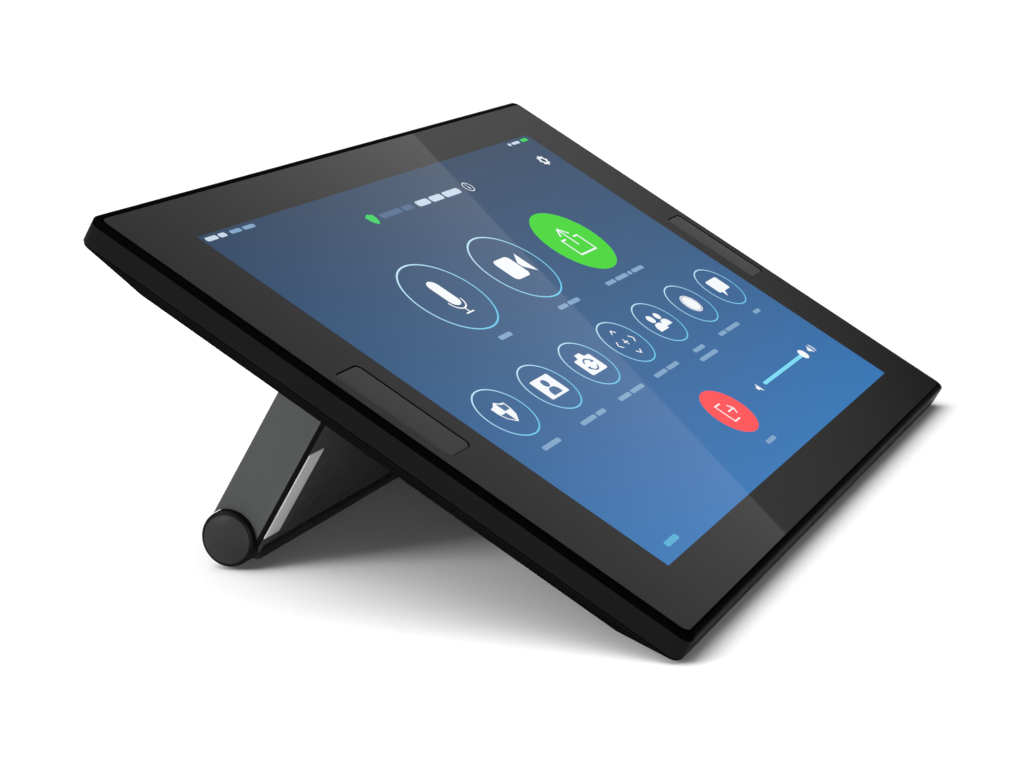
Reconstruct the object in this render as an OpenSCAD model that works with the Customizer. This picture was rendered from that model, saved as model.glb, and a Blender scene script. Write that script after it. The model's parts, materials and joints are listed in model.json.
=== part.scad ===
// Tabletop touch console for calls: a flat wide touch display held at a fixed slope by one
// full-width leg that ends in a round foot. Lengths are in millimetres.
// Most pieces are drawn in the head's own frame: X to the right, Y up the screen, Z out of the
// glass, with its origin on the glass at the middle of the screen. in_head() tilts that frame
// into place above the desk, which is the plane Z = 0.

/* [Head] */
// Slope of the screen above the desk, in degrees
tilt = 30; // [28:1:32]
// Width of the head
head_w = 267; // [260:1:280]
// Height of the head, measured along the screen
head_h = 167.2; // [164:0.2:176]
// Radius of the head's corners
head_corner_r = 3; // [2.6:0.2:6]
// Depth from the glass to the seam between front frame and back cover
seam_depth = 6.8; // [6.6:0.1:7.2]
// Depth from the glass to the flat back
head_depth = 14.7; // [14:0.1:15.2]
// Gap that shows as the seam
seam_gap = 0.3; // [0.2:0.05:0.5]

/* [Screen] */
// Width of the lit picture area
screen_w = 217; // [210:0.5:220]
// Height of the lit picture area
screen_h = 135.6; // [130:0.2:138]
// Thickness of the cover glass
glass_t = 1.1; // [0.9:0.1:1.2]
// Width of the front frame's rim beside the glass, left and right
rim_x = 1.4; // [1.2:0.1:1.6]
// Width of the front frame's rim beside the glass, above and below
rim_y = 1.8; // [1.6:0.1:2]

/* [Sensor windows] */
// Width of each window
window_w = 12.1; // [11:0.1:12.5]
// Height of each window
window_h = 32.6; // [30:0.2:33]
// Distance from the middle of the screen to the middle of each window
window_x = 122.1; // [121.8:0.1:122.3]

/* [Leg] */
// Width of the leg
leg_w = 209; // [204:1:212]
// Height of the leg's front face above the middle of the screen, along the screen
leg_front_y = 19.3; // [18.5:0.1:19.5]
// Thickness of the leg from front face to back face
leg_t = 14.3; // [14:0.1:14.8]
// Radius of the foot tube
foot_r = 7.1; // [7:0.1:7.4]
// Length of the foot from end to end
foot_len = 214; // [212:1:218]

/* [Tag] */
// Width of the plain metal tag
tag_w = 8; // [6:0.5:9]
// Length of the plain metal tag
tag_len = 25.5; // [20:0.5:28]

/* [Hidden] */

$fn = 48;
cut = 1;            // how far a cutting shape runs past the face that it cuts
fit_gap = 0.2;      // gap between neighbours that fit each other

// Head frame
glass_w = head_w - 2 * rim_x;
glass_h = head_h - 2 * rim_y;
glass_corner_r = 2.2;
tape_t = 0.3;
tape_w = 2;
ledge_z = -glass_t - tape_t;
rim_drop = 0.1;             // the rim lies just below the glass
edge_round = 0.9;           // height of the frame's rounded outer edge
round_in = [0.7, 0.25];     // how far that edge is set in at its top and half way down
round_mid_z = -0.3;
frame_wall = 4.9;           // ring width behind the glass
skirt_wall = 3.4;           // ring width around the chassis plate
shelf_z = -4.4;             // the chassis plate rests here
chassis_t = 1.4;
chassis_z = shelf_z - chassis_t;
shell_t = 1.8;              // wall of the back cover
cover_top_z = -seam_depth - seam_gap;
slope_low = (head_depth + cover_top_z) / tan(tilt);     // the bottom slope lies parallel to the desk
slope_in = [12.2, 11.6, slope_low];     // how far the back is set in at the sides, above and below
back_floor_z = shell_t - head_depth;

// Desk level and placing of the head frame
pad_out = 0.4;              // rubber standing out of the bottom slope
strip_out = 0.8;            // rubber standing out of the foot
desk_up = -sin(tilt) * head_h / 2 + cos(tilt) * cover_top_z - pad_out;
foot_y = leg_front_y + foot_r + 0.4;
foot_z = (desk_up + foot_r + strip_out - sin(tilt) * foot_y) / cos(tilt);
front_reach = -cos(tilt) * (head_h / 2 - round_in[1]) - sin(tilt) * round_mid_z;
back_reach = cos(tilt) * head_h / 2 - sin(tilt) * cover_top_z;
shift_y = -(front_reach + back_reach) / 2;
shift_z = -desk_up;
foot_level_y = cos(tilt) * foot_y - sin(tilt) * foot_z + shift_y;

// Display stack, each layer below the one before
lcd_w = screen_w + 11;
lcd_h = screen_h + 12.4;
film_t = 0.4;
film_w = screen_w + 13;
film_h = screen_h + 13;
lcd_t = 1.4;
diffuser_t = 0.3;
guide_t = 0.7;
lcd_z = -glass_t - film_t - lcd_t;
diffuser_z = lcd_z - diffuser_t;
guide_z = diffuser_z - guide_t;
led_w = 3;

// Electronics behind the chassis plate
standoff_h = 2;
board_t = 1.2;
board_z = chassis_z - standoff_h - board_t;
board_box = [[-70, -48], [60, 14]];
chip_t = 1.3;
pad_t = 0.5;
spreader_t = 0.8;
ribbon_t = 0.3;
ribbon_w = 20;
ribbon_x = 11;              // left edge of the ribbon to the socket board
connector_t = 1.2;
lead_z = board_z + board_t + connector_t;   // top of the connectors on the board's front
lead_ys = [-4, 4];
lead_x = 114.2;             // the sensor leads pass the chassis plate here
touch_board_box = [[58, -64], [86, -50]];
touch_ribbon_xs = [68, 76];
touch_post_xs = [63, 81];

// Screws: [radius of the thread, radius of the head, height of the head]
small_screw = [0.95, 1.9, 0.8];
case_screw = [0.95, 2.4, 1.1];
thread_gap = 0.05;
frame_screw_spots = [for (x = [-124, 124]) for (y = [-68, -30, 30, 68]) [x, y]];
case_screw_spots = concat(
    [for (x = [-105, 105]) for (y = [-55, 55]) [x, y]],
    [[-38, -62], [38, -62], [-38, 58], [38, 58]]
);
board_screw_spots = [for (x = [-66, 56]) for (y = [-44, 10]) [x, y]];

// Leg
leg_rear_y = leg_front_y + leg_t;
leg_wall = 1.1;             // front wall of the dark shell
leg_top_z = -head_depth - 0.3;
panel_t = 1.8;              // side panels
rib_t = 1.6;                // ribs of the dark shell
cover_t = 1.6;              // cable cover
foot_clear = 0.2;           // gap around the foot tube
rib_x = leg_w / 2 - panel_t - fit_gap;
rib_rear_y = leg_rear_y - cover_t - 0.4;
web_y = leg_front_y + 2.3;
web_t = 2;
web_w = 184;
flange_t = 1.6;
foot_flat_z = foot_z + foot_r - 0.4;
bay_y = web_y + web_t;      // the cable bay lies behind this
shell_end_z = foot_z + 1.9;

// Foot
foot_wall = 2.6;
cap_t = 2.5;                // cap standing out beyond the tube
tube_len = foot_len - 2 * cap_t;
strip_w = 6;
strip_len = 190;
strip_deep = 2.2;
foot_screw_xs = [-80, -30, 30, 80];

// Sockets and cable inlet
socket_size = [8.94, 3.26, 7.35];
socket_wall = 0.35;
socket_screw_spots = [for (x = [12, 64]) for (z = [-28, -20]) [x, z]];
socket_xs = [24, 48];
socket_board_box = [[8, -31], [68, -17]];
socket_board_y = bay_y + 1;
socket_board_t = 1;
inlet_z = -49.6;
inlet_r = 2.75;
grommet_w = 10;
grommet_h = 9;
grommet_y = leg_rear_y - 4.8;
clamp_w = 2;

magnet_r = 3;
magnet_t = 1.6;
magnet_spots = [for (x = [-88, 88]) for (z = [-21, -50]) [x, z]];
leg_screw_spots = [for (x = [-70, -25, 78]) for (z = [-24, -46]) [x, z]];
bracket_screw_xs = [-84, -50, -16, 16, 50, 84];

pad_xs = [-88, 0, 88];
pad_size = [48, 8];
pad_deep = 0.6;

// ---- shared shapes ----

module in_head() {
    translate([0, shift_y, shift_z]) rotate([tilt, 0, 0]) children();
}

module rounded_rect(w, h, r) {
    square([w - 2 * r, h], center = true);
    square([w, h - 2 * r], center = true);
    for (x = [-1, 1]) for (y = [-1, 1]) {
        translate([x * (w / 2 - r), y * (h / 2 - r)]) circle(r);
    }
}

module slab(w, h, r, low_z, high_z) {
    translate([0, 0, low_z]) linear_extrude(high_z - low_z) rounded_rect(w, h, r);
}

module block(low, high) {
    translate(low) cube(high - low);
}

// A flat board or sheet over the rectangle box, given as [[x, y], [x, y]]
module sheet(box, low_z, high_z) {
    block([box[0][0], box[0][1], low_z], [box[1][0], box[1][1], high_z]);
}

// A rod along X
module rod_x(r, low_x, high_x, y, z) {
    translate([low_x, y, z]) rotate([0, 90, 0]) cylinder(r = r, h = high_x - low_x);
}

// A rod along Y
module rod_y(r, low_y, high_y, x, z) {
    translate([x, high_y, z]) rotate([90, 0, 0]) cylinder(r = r, h = high_y - low_y);
}

// A rod along Z
module rod_z(r, low_z, high_z, x, y) {
    translate([x, y, low_z]) cylinder(r = r, h = high_z - low_z);
}

// A screw whose head lies below z = 0 and whose thread rises above it
module screw(size, length) {
    cylinder(r = size[0], h = length);
    difference() {
        translate([0, 0, -size[2]]) cylinder(r = size[1], h = size[2]);
        translate([0, 0, -size[2] - cut]) cylinder(r = size[1] * 0.5, h = cut + size[2] * 0.6, $fn = 6);
    }
}

module mirror_left(left) {
    mirror([left ? 1 : 0, 0, 0]) children();
}

// ---- glass and display ----

module cover_glass() {
    chamfer = 0.25;
    color([0.06, 0.06, 0.07]) in_head() difference() {
        hull() {
            slab(glass_w, glass_h, glass_corner_r, -glass_t, -chamfer);
            slab(glass_w - 2 * chamfer, glass_h - 2 * chamfer, glass_corner_r - chamfer, -glass_t, 0);
        }
        for (x = [-window_x, window_x]) {
            translate([x, 0, 0]) slab(window_w + 2 * fit_gap, window_h + 2 * fit_gap, 2, -glass_t - cut, cut);
        }
    }
}

module glass_tape() {
    outer_w = glass_w - 1;
    outer_h = glass_h - 1;
    color([0.1, 0.1, 0.1]) in_head() difference() {
        slab(outer_w, outer_h, glass_corner_r, ledge_z, -glass_t);
        slab(outer_w - 2 * tape_w, outer_h - 2 * tape_w, 1, ledge_z - cut, -glass_t + cut);
    }
}

module touch_film() {
    color([0.5, 0.55, 0.6]) in_head()
        slab(film_w, film_h, 1.5, -glass_t - film_t, -glass_t);
}

module lcd_panel() {
    color([0.16, 0.34, 0.55]) in_head() slab(lcd_w, lcd_h, 1, lcd_z, lcd_z + lcd_t);
}

module diffuser_sheets() {
    color([0.92, 0.92, 0.9]) in_head() slab(lcd_w - 2, lcd_h - 2, 1, diffuser_z, lcd_z);
}

module light_guide() {
    guide_h = lcd_h - 3 - led_w;
    color([0.85, 0.9, 0.95]) in_head() translate([0, led_w / 2, 0])
        slab(lcd_w - 3, guide_h, 1, guide_z, diffuser_z);
}

module led_bar() {
    low_y = -lcd_h / 2 + 1;
    led_count = 24;
    led_pitch = (lcd_w - 20) / led_count;
    color([0.95, 0.9, 0.6]) in_head() {
        sheet([[-lcd_w / 2 + 4, low_y], [lcd_w / 2 - 4, low_y + 1]], guide_z, diffuser_z);
        for (i = [0 : led_count - 1]) {
            x = (i - (led_count - 1) / 2) * led_pitch;
            sheet([[x - 1.8, low_y + 1], [x + 1.8, low_y + 1.4]], guide_z + 0.1, diffuser_z - 0.1);
        }
    }
}

module backlight_tray() {
    color([0.75, 0.76, 0.78]) in_head() difference() {
        slab(lcd_w, lcd_h, 1, shelf_z, lcd_z);
        slab(lcd_w - 1, lcd_h - 1, 0.8, guide_z, lcd_z + cut);
    }
}

module driver_board() {
    high_y = -lcd_h / 2 - 0.4;
    color([0.1, 0.35, 0.2]) in_head() sheet([[-90, high_y - 3.2], [60, high_y]], lcd_z - 0.4, lcd_z + 0.4);
}

// A ribbon that drops from high_z at drop_y, then runs behind the chassis plate to end_y
module bent_ribbon(low_x, high_x, drop_y, high_z, run_z, end_y) {
    block([low_x, drop_y, run_z - ribbon_t], [high_x, drop_y + ribbon_t, high_z]);
    block([low_x, drop_y, run_z - ribbon_t], [high_x, end_y, run_z]);
}

module display_ribbon() {
    color([0.85, 0.55, 0.2]) in_head()
        bent_ribbon(-12, 12, -lcd_h / 2 - 2.2, lcd_z - 0.4, lead_z + ribbon_t, board_box[0][1] + 4);
}

module touch_board() {
    color([0.1, 0.35, 0.2]) in_head() sheet(touch_board_box, board_z + 0.4, board_z + board_t);
}

module touch_ribbon() {
    drop_y = -film_h / 2 - 1;
    top_z = -glass_t - film_t + ribbon_t;
    color([0.85, 0.55, 0.2]) in_head() {
        bent_ribbon(touch_ribbon_xs[0], touch_ribbon_xs[1], drop_y, top_z,
            board_z + board_t + ribbon_t, touch_board_box[0][1] + 4);
        sheet([[touch_ribbon_xs[0], drop_y], [touch_ribbon_xs[1], -film_h / 2]], top_z - ribbon_t, top_z);
    }
}

// ---- shells ----

module frame_lug(x, y) {
    inner_x = abs(x) - 5;
    outer_x = head_w / 2 - frame_wall + 0.2;
    mirror_left(x < 0) sheet([[inner_x, y - 4.5], [outer_x, y + 4.5]], shelf_z, ledge_z - 0.2);
}

module edge_slab(inset, high_z) {
    slab(head_w - 2 * inset, head_h - 2 * inset, head_corner_r - inset, -seam_depth, high_z);
}

module front_frame() {
    color([0.12, 0.12, 0.13]) in_head() {
        difference() {
            hull() {
                slab(head_w, head_h, head_corner_r, -seam_depth, -edge_round);
                edge_slab(round_in[1], round_mid_z);
                edge_slab(round_in[0], -rim_drop);
            }
            slab(glass_w + 0.4, glass_h + 0.4, glass_corner_r + 0.2, ledge_z, cut);
            slab(head_w - 2 * frame_wall, head_h - 2 * frame_wall - 1, 1, -seam_depth - cut, cut);
            slab(head_w - 2 * skirt_wall, head_h - 2 * skirt_wall, 2, -seam_depth - cut, shelf_z);
        }
        for (spot = frame_screw_spots) difference() {
            frame_lug(spot[0], spot[1]);
            rod_z(small_screw[0] + thread_gap, shelf_z - cut, shelf_z + 2.2, spot[0], spot[1]);
        }
    }
}

module slope_shell(w, h, r, low_z, high_z, inset) {
    hull() {
        slab(w, h, r, high_z, high_z + 0.01);
        translate([0, (inset[2] - inset[1]) / 2, 0])
            slab(w - 2 * inset[0], h - inset[1] - inset[2], r + 1, low_z, low_z + 0.01);
    }
}

module back_cover() {
    inner_w = head_w - 2 * shell_t;
    inner_h = head_h - 2 * shell_t;
    lip_w = head_w - 2 * skirt_wall - 2 * fit_gap;
    lip_h = head_h - 2 * skirt_wall - 2 * fit_gap;
    lip_t = 1.2;
    lip_rise = 0.9;
    lip_root = 1.4;
    inner_slope_in = slope_in * (cover_top_z - back_floor_z) / (head_depth + cover_top_z);
    color([0.1, 0.1, 0.11]) difference() {
        in_head() {
            difference() {
                slope_shell(head_w, head_h, head_corner_r, -head_depth, cover_top_z - 0.01, slope_in);
                slope_shell(inner_w, inner_h, head_corner_r - 1, back_floor_z, cover_top_z, inner_slope_in);
                for (spot = case_screw_spots) {
                    rod_z(1.25, -head_depth - cut, 0, spot[0], spot[1]);
                    rod_z(2.7, -head_depth - cut, -head_depth + 1.2, spot[0], spot[1]);
                }
                sheet([[-web_w / 2 - 0.6, web_y - 0.4], [web_w / 2 + 0.6, bay_y + 1.6]],
                    -head_depth - cut, 0);
            }
            difference() {
                slab(lip_w, lip_h, 2, cover_top_z - lip_root, -seam_depth + lip_rise);
                slab(lip_w - 2 * lip_t, lip_h - 2 * lip_t, 1, cover_top_z - lip_root - cut, cut);
            }
        }
        for (x = pad_xs) foot_pad(x, pad_out + pad_deep, 0.15);
    }
}

module chassis_plate() {
    plate_w = head_w - 2 * skirt_wall - 1;
    plate_h = head_h - 2 * skirt_wall - 1;
    color([0.72, 0.73, 0.75]) in_head() difference() {
        union() {
            slab(plate_w, plate_h, 2, chassis_z, shelf_z);
            for (spot = case_screw_spots) rod_z(3, back_floor_z, chassis_z, spot[0], spot[1]);
            for (spot = board_screw_spots) rod_z(2.4, chassis_z - standoff_h, chassis_z, spot[0], spot[1]);
            for (x = touch_post_xs) rod_z(2, chassis_z - standoff_h, chassis_z, x, -57);
        }
        for (spot = frame_screw_spots) rod_z(1.15, chassis_z - cut, 0, spot[0], spot[1]);
        for (spot = case_screw_spots) {
            rod_z(case_screw[0] + thread_gap, back_floor_z - cut, back_floor_z + 4.6, spot[0], spot[1]);
        }
        for (spot = board_screw_spots) {
            rod_z(small_screw[0] + thread_gap, chassis_z - standoff_h - cut, 0, spot[0], spot[1]);
        }
        for (x = bracket_screw_xs) rod_z(1.5, chassis_z - cut, 0, x, bay_y + 5);
        sheet([[-14, -plate_h / 2 - cut], [14, -lcd_h / 2 + 1]], chassis_z - cut, 0);
        sheet([[66, -plate_h / 2 - cut], [78, -lcd_h / 2 + 1]], chassis_z - cut, 0);
        for (x = [-lead_x, lead_x]) sheet([[x - 1.5, lead_ys[0]], [x + 1.5, lead_ys[1]]], chassis_z - cut, 0);
    }
}

module frame_screws() {
    color([0.6, 0.6, 0.62]) in_head() for (spot = frame_screw_spots) {
        translate([spot[0], spot[1], chassis_z]) screw(small_screw, 3.4);
    }
}

module housing_screws() {
    color([0.2, 0.2, 0.21]) in_head() for (spot = case_screw_spots) {
        translate([spot[0], spot[1], -head_depth + 1.2]) screw(case_screw, 4.6);
    }
}

// ---- sensors beside the screen ----

module sensor_window(left) {
    tab = 2;
    crown = 0.15;
    color([0.14, 0.14, 0.15]) in_head() mirror_left(left) translate([window_x, 0, 0]) {
        hull() {
            slab(window_w, window_h, 1.8, -glass_t - 1, 0);
            slab(window_w - 2, window_h - 2, 1, -glass_t - 1, crown);
        }
        slab(window_w - 2, window_h + 2 * tab, 0.8, -glass_t - 1, -glass_t - 0.2);
    }
}

module sensor_window_left() {
    sensor_window(true);
}

module sensor_window_right() {
    sensor_window(false);
}

module sensor_board(left) {
    color([0.1, 0.35, 0.2]) in_head() mirror_left(left)
        sheet([[window_x - 5.5, -15], [window_x + 5.5, 15]], shelf_z, shelf_z + 0.8);
}

module sensor_board_left() {
    sensor_board(true);
}

module sensor_board_right() {
    sensor_board(false);
}

module sensor_chips() {
    color([0.2, 0.2, 0.22]) in_head() for (x = [-window_x, window_x]) for (y = [-9, 9]) {
        sheet([[x - 2.5, y - 2.5], [x + 2.5, y + 2.5]], shelf_z + 0.8, shelf_z + 1.8);
    }
}

module sensor_lead(left) {
    end_x = left ? -board_box[0][0] - 4 : board_box[1][0] - 4;
    low_y = lead_ys[0] + 1;
    high_y = lead_ys[1] - 1;
    top_z = shelf_z + 0.8;
    color([0.85, 0.55, 0.2]) in_head() mirror_left(left) {
        block([end_x, low_y, lead_z], [lead_x + ribbon_t, high_y, lead_z + ribbon_t]);
        block([lead_x, low_y, lead_z], [lead_x + ribbon_t, high_y, top_z + ribbon_t]);
        block([lead_x, low_y, top_z], [window_x - 3, high_y, top_z + ribbon_t]);
    }
}

module sensor_lead_left() {
    sensor_lead(true);
}

module sensor_lead_right() {
    sensor_lead(false);
}

// ---- main board ----

module main_board() {
    color([0.08, 0.3, 0.18]) in_head() difference() {
        sheet(board_box, board_z, board_z + board_t);
        for (spot = board_screw_spots) rod_z(1.2, board_z - cut, 0, spot[0], spot[1]);
    }
}

module processor() {
    color([0.25, 0.25, 0.27]) in_head() sheet([[-8, -24], [8, -8]], board_z - chip_t, board_z);
}

module memory_chips() {
    color([0.15, 0.15, 0.16]) in_head() for (y = [-34, -16]) {
        sheet([[-32, y], [-22, y + 12]], board_z - 1, board_z);
    }
}

module board_connectors() {
    front_z = board_z + board_t;
    low_x = board_box[0][0] + 1;
    high_x = board_box[1][0] - 1;
    color([0.85, 0.83, 0.78]) in_head() {
        sheet([[-13, board_box[0][1] + 1], [13, board_box[0][1] + 5]], front_z, lead_z);
        sheet([[10, board_box[1][1] - 6], [32, board_box[1][1] - 2]], board_z - connector_t, board_z);
        sheet([[low_x, lead_ys[0]], [low_x + 4, lead_ys[1]]], front_z, lead_z);
        sheet([[high_x - 4, lead_ys[0]], [high_x, lead_ys[1]]], front_z, lead_z);
    }
}

module board_screws() {
    color([0.6, 0.6, 0.62]) in_head() for (spot = board_screw_spots) {
        translate([spot[0], spot[1], board_z]) screw(small_screw, 3);
    }
}

module thermal_pad() {
    color([0.55, 0.65, 0.75]) in_head()
        sheet([[-8, -24], [8, -8]], board_z - chip_t - pad_t, board_z - chip_t);
}

module heat_spreader() {
    high_z = board_z - chip_t - pad_t;
    color([0.78, 0.78, 0.8]) in_head() sheet([[-45, -38], [45, 4]], high_z - spreader_t, high_z);
}

// ---- rubber under the bottom slope ----

module foot_pad(x, high_z, grow) {
    slope_mid_y = sin(tilt) * (head_depth - cover_top_z) / 2 - cos(tilt) * (head_h - slope_low) / 2 + shift_y;
    translate([x, slope_mid_y, 0])
        slab(pad_size[0] + 2 * grow, pad_size[1] + 2 * grow, 3, 0, high_z);
}

module front_feet() {
    color([0.08, 0.08, 0.08]) for (x = pad_xs) foot_pad(x, pad_out + pad_deep, 0);
}

// ---- leg ----

module around_foot() {
    rod_x(foot_r + foot_clear, -leg_w, leg_w, foot_y, foot_z);
}

module leg_bracket() {
    color([0.62, 0.63, 0.65]) in_head() difference() {
        union() {
            block([-web_w / 2, web_y, foot_flat_z], [web_w / 2, bay_y, chassis_z]);
            block([-web_w / 2, web_y, chassis_z - flange_t], [web_w / 2, bay_y + 10, chassis_z]);
            block([-web_w / 2, web_y, foot_flat_z], [web_w / 2, foot_y + 3.4, foot_flat_z + flange_t]);
            for (spot = socket_screw_spots) rod_y(2.4, bay_y, socket_board_y, spot[0], spot[1]);
            for (spot = magnet_spots) {
                rod_y(3.5, bay_y, leg_rear_y - cover_t - magnet_t - fit_gap, spot[0], spot[1]);
            }
        }
        for (spot = socket_screw_spots) rod_y(1, web_y - cut, socket_board_y + cut, spot[0], spot[1]);
        for (spot = leg_screw_spots) rod_y(1.2, web_y - cut, bay_y + cut, spot[0], spot[1]);
        for (x = bracket_screw_xs) rod_z(1.6, chassis_z - flange_t - cut, 0, x, bay_y + 5);
        for (x = foot_screw_xs) rod_z(1.6, foot_flat_z - cut, foot_flat_z + flange_t + cut, x, foot_y);
        block([ribbon_x - 1, web_y - cut, board_z - connector_t - 1.2],
            [ribbon_x + ribbon_w + 1, bay_y + cut, board_z - connector_t + 0.7]);
    }
}

module bracket_screws() {
    color([0.6, 0.6, 0.62]) in_head() for (x = bracket_screw_xs) {
        translate([x, bay_y + 5, chassis_z - flange_t]) screw([1.45, 2.8, 1.2], 2.8);
    }
}

module leg_shell() {
    half_w = leg_w / 2;
    color([0.13, 0.13, 0.14]) in_head() difference() {
        union() {
            block([-half_w, leg_front_y, shell_end_z], [half_w, leg_front_y + leg_wall, leg_top_z]);
            for (x = [-rib_x, rib_x - rib_t]) {
                block([x, leg_front_y, foot_z], [x + rib_t, rib_rear_y, leg_top_z]);
            }
            block([-rib_x, leg_front_y, leg_top_z - rib_t], [rib_x, rib_rear_y, leg_top_z]);
            for (spot = leg_screw_spots) rod_y(2.4, leg_front_y, web_y, spot[0], spot[1]);
        }
        around_foot();
        sheet([[-web_w / 2 - 0.4, web_y - 0.2], [web_w / 2 + 0.4, bay_y + 1.6]], leg_top_z - rib_t - cut, 0);
        for (spot = leg_screw_spots) rod_y(1, leg_front_y + 0.8, web_y + cut, spot[0], spot[1]);
    }
}

module leg_screws() {
    color([0.6, 0.6, 0.62]) in_head() for (spot = leg_screw_spots) {
        translate([spot[0], bay_y, spot[1]]) rotate([90, 0, 0]) screw(small_screw, 3.2);
    }
}

// Side panel with a rounded rear edge, ending in an arc above the foot
module side_panel(left) {
    edge_r = 0.6;
    inner_x = leg_w / 2 - panel_t;
    low_y = leg_front_y + leg_wall + fit_gap;
    color([0.34, 0.35, 0.35]) in_head() mirror_left(left) difference() {
        translate([0, 0, foot_z]) linear_extrude(leg_top_z - foot_z) {
            translate([inner_x, low_y]) square([panel_t, leg_rear_y - edge_r - low_y]);
            translate([inner_x, low_y]) square([panel_t - edge_r, leg_rear_y - low_y]);
            translate([leg_w / 2 - edge_r, leg_rear_y - edge_r]) circle(edge_r);
        }
        around_foot();
    }
}

module side_panel_left() {
    side_panel(true);
}

module side_panel_right() {
    side_panel(false);
}

module cable_cover() {
    half_w = leg_w / 2 - panel_t - fit_gap;
    notch_w = grommet_w / 2 + 0.4;
    rib_deep = 0.9;
    color([0.34, 0.35, 0.35]) in_head() difference() {
        union() {
            block([-half_w, leg_rear_y - cover_t, foot_z], [half_w, leg_rear_y, leg_top_z]);
            for (x = [-64, 78]) {
                block([x, leg_rear_y - cover_t - rib_deep, -52], [x + 1.2, leg_rear_y - cover_t, -19]);
            }
        }
        around_foot();
        block([-notch_w, 0, foot_z - cut], [notch_w, leg_rear_y + cut, inlet_z + grommet_h / 2 + 0.4]);
    }
}

module cover_magnets() {
    color([0.7, 0.7, 0.72]) in_head() for (spot = magnet_spots) {
        rod_y(magnet_r, leg_rear_y - cover_t - magnet_t, leg_rear_y - cover_t, spot[0], spot[1]);
    }
}

module socket_board() {
    low = socket_board_box[0];
    high = socket_board_box[1];
    color([0.08, 0.3, 0.18]) in_head() difference() {
        block([low[0], socket_board_y, low[1]], [high[0], socket_board_y + socket_board_t, high[1]]);
        for (spot = socket_screw_spots) rod_y(1.2, 0, leg_rear_y, spot[0], spot[1]);
    }
}

module usb_sockets() {
    low_y = socket_board_y + socket_board_t;
    mouth_z = socket_board_box[0][1] - 0.6;
    w = socket_size[0];
    h = socket_size[1];
    length = socket_size[2];
    color([0.75, 0.75, 0.77]) in_head() for (x = socket_xs) translate([x, low_y + h / 2, mouth_z]) {
        difference() {
            linear_extrude(length) rounded_rect(w, h, h / 2 - 0.01);
            translate([0, 0, -cut]) linear_extrude(length - 0.6 + cut)
                rounded_rect(w - 2 * socket_wall, h - 2 * socket_wall, h / 2 - socket_wall - 0.01);
        }
        translate([-3.35, -0.35, 1]) cube([6.7, 0.7, length - 1]);
    }
}

module socket_screws() {
    color([0.6, 0.6, 0.62]) in_head() for (spot = socket_screw_spots) {
        translate([spot[0], socket_board_y + socket_board_t, spot[1]]) rotate([90, 0, 0]) screw(small_screw, 3);
    }
}

module board_ribbon() {
    low_y = bay_y + 0.5;
    low_z = socket_board_box[1][1];
    high_x = ribbon_x + ribbon_w;
    run_z = board_z - connector_t;
    color([0.85, 0.55, 0.2]) in_head() {
        block([ribbon_x, low_y, low_z], [high_x, low_y + ribbon_t, run_z]);
        block([ribbon_x, board_box[1][1] - 5, run_z - ribbon_t], [high_x, low_y + ribbon_t, run_z]);
        block([ribbon_x + 3, low_y, low_z], [high_x - 3, socket_board_y + socket_board_t, low_z + ribbon_t]);
    }
}

module cable_clamp() {
    inner_x = grommet_w / 2;
    color([0.16, 0.16, 0.17]) in_head() difference() {
        block([-inner_x - clamp_w, bay_y, inlet_z - 2], [inner_x + clamp_w, grommet_y + 2.4, inlet_z + 6.5]);
        block([-inner_x, bay_y + 1.2, inlet_z - 5], [inner_x, grommet_y + 5, inlet_z + grommet_h / 2]);
        block([-3.2, bay_y + 1.2, inlet_z], [3.2, grommet_y + 5, inlet_z + 9]);
    }
}

module cable_grommet() {
    color([0.07, 0.07, 0.07]) in_head() difference() {
        block([-grommet_w / 2, grommet_y, inlet_z - grommet_h / 2 + 0.6],
            [grommet_w / 2, leg_rear_y, inlet_z + grommet_h / 2]);
        rod_y(inlet_r, grommet_y - cut, leg_rear_y + cut, 0, inlet_z);
    }
}

// ---- foot ----

module foot_tube() {
    inner_r = foot_r - foot_wall;
    half_flat = web_w / 2 + 0.5;
    color([0.1, 0.1, 0.11]) difference() {
        in_head() difference() {
            rod_x(foot_r, -tube_len / 2, tube_len / 2, foot_y, foot_z);
            rod_x(inner_r, -tube_len, tube_len, foot_y, foot_z);
            block([-half_flat, foot_y - foot_r, foot_flat_z],
                [half_flat, foot_y + foot_r, foot_z + 2 * foot_r]);
            for (x = foot_screw_xs) rod_z(1.5, foot_z, foot_flat_z + cut, x, foot_y);
        }
        translate([0, foot_level_y, 0]) slab(strip_len + 0.2, strip_w + 0.2, 1, -cut, strip_deep);
    }
}

module foot_screws() {
    color([0.6, 0.6, 0.62]) in_head() for (x = foot_screw_xs) {
        translate([x, foot_y, foot_flat_z + flange_t]) rotate([180, 0, 0]) screw([1.45, 2.6, 1.2], 3.6);
    }
}

module foot_weight() {
    color([0.5, 0.5, 0.52]) in_head() rod_x(foot_r - foot_wall - 0.15, -96, 96, foot_y, foot_z);
}

// A gently domed disc with a rounded rim, and a plug that fits inside the tube
module foot_cap(left) {
    rim_r = 0.9;
    dome = 0.5;
    plug_r = foot_r - foot_wall - 0.1;
    dome_steps = 8;
    flat_r = foot_r - rim_r;
    dome_points = [for (i = [0 : dome_steps]) let (r = flat_r * (1 - i / dome_steps))
        [r, cap_t - dome * pow(r / flat_r, 2)]];
    rim_points = [for (a = [0 : 15 : 75])
        [flat_r + rim_r * cos(a), cap_t - dome - rim_r + rim_r * sin(a)]];
    color([0.15, 0.15, 0.16]) in_head() mirror_left(left)
        translate([tube_len / 2, foot_y, foot_z]) rotate([0, 90, 0]) {
            rotate_extrude() polygon(concat([[0, 0], [foot_r, 0]], rim_points, dome_points));
            translate([0, 0, -6]) cylinder(r = plug_r, h = 6);
        }
}

module foot_cap_left() {
    foot_cap(true);
}

module foot_cap_right() {
    foot_cap(false);
}

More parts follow.
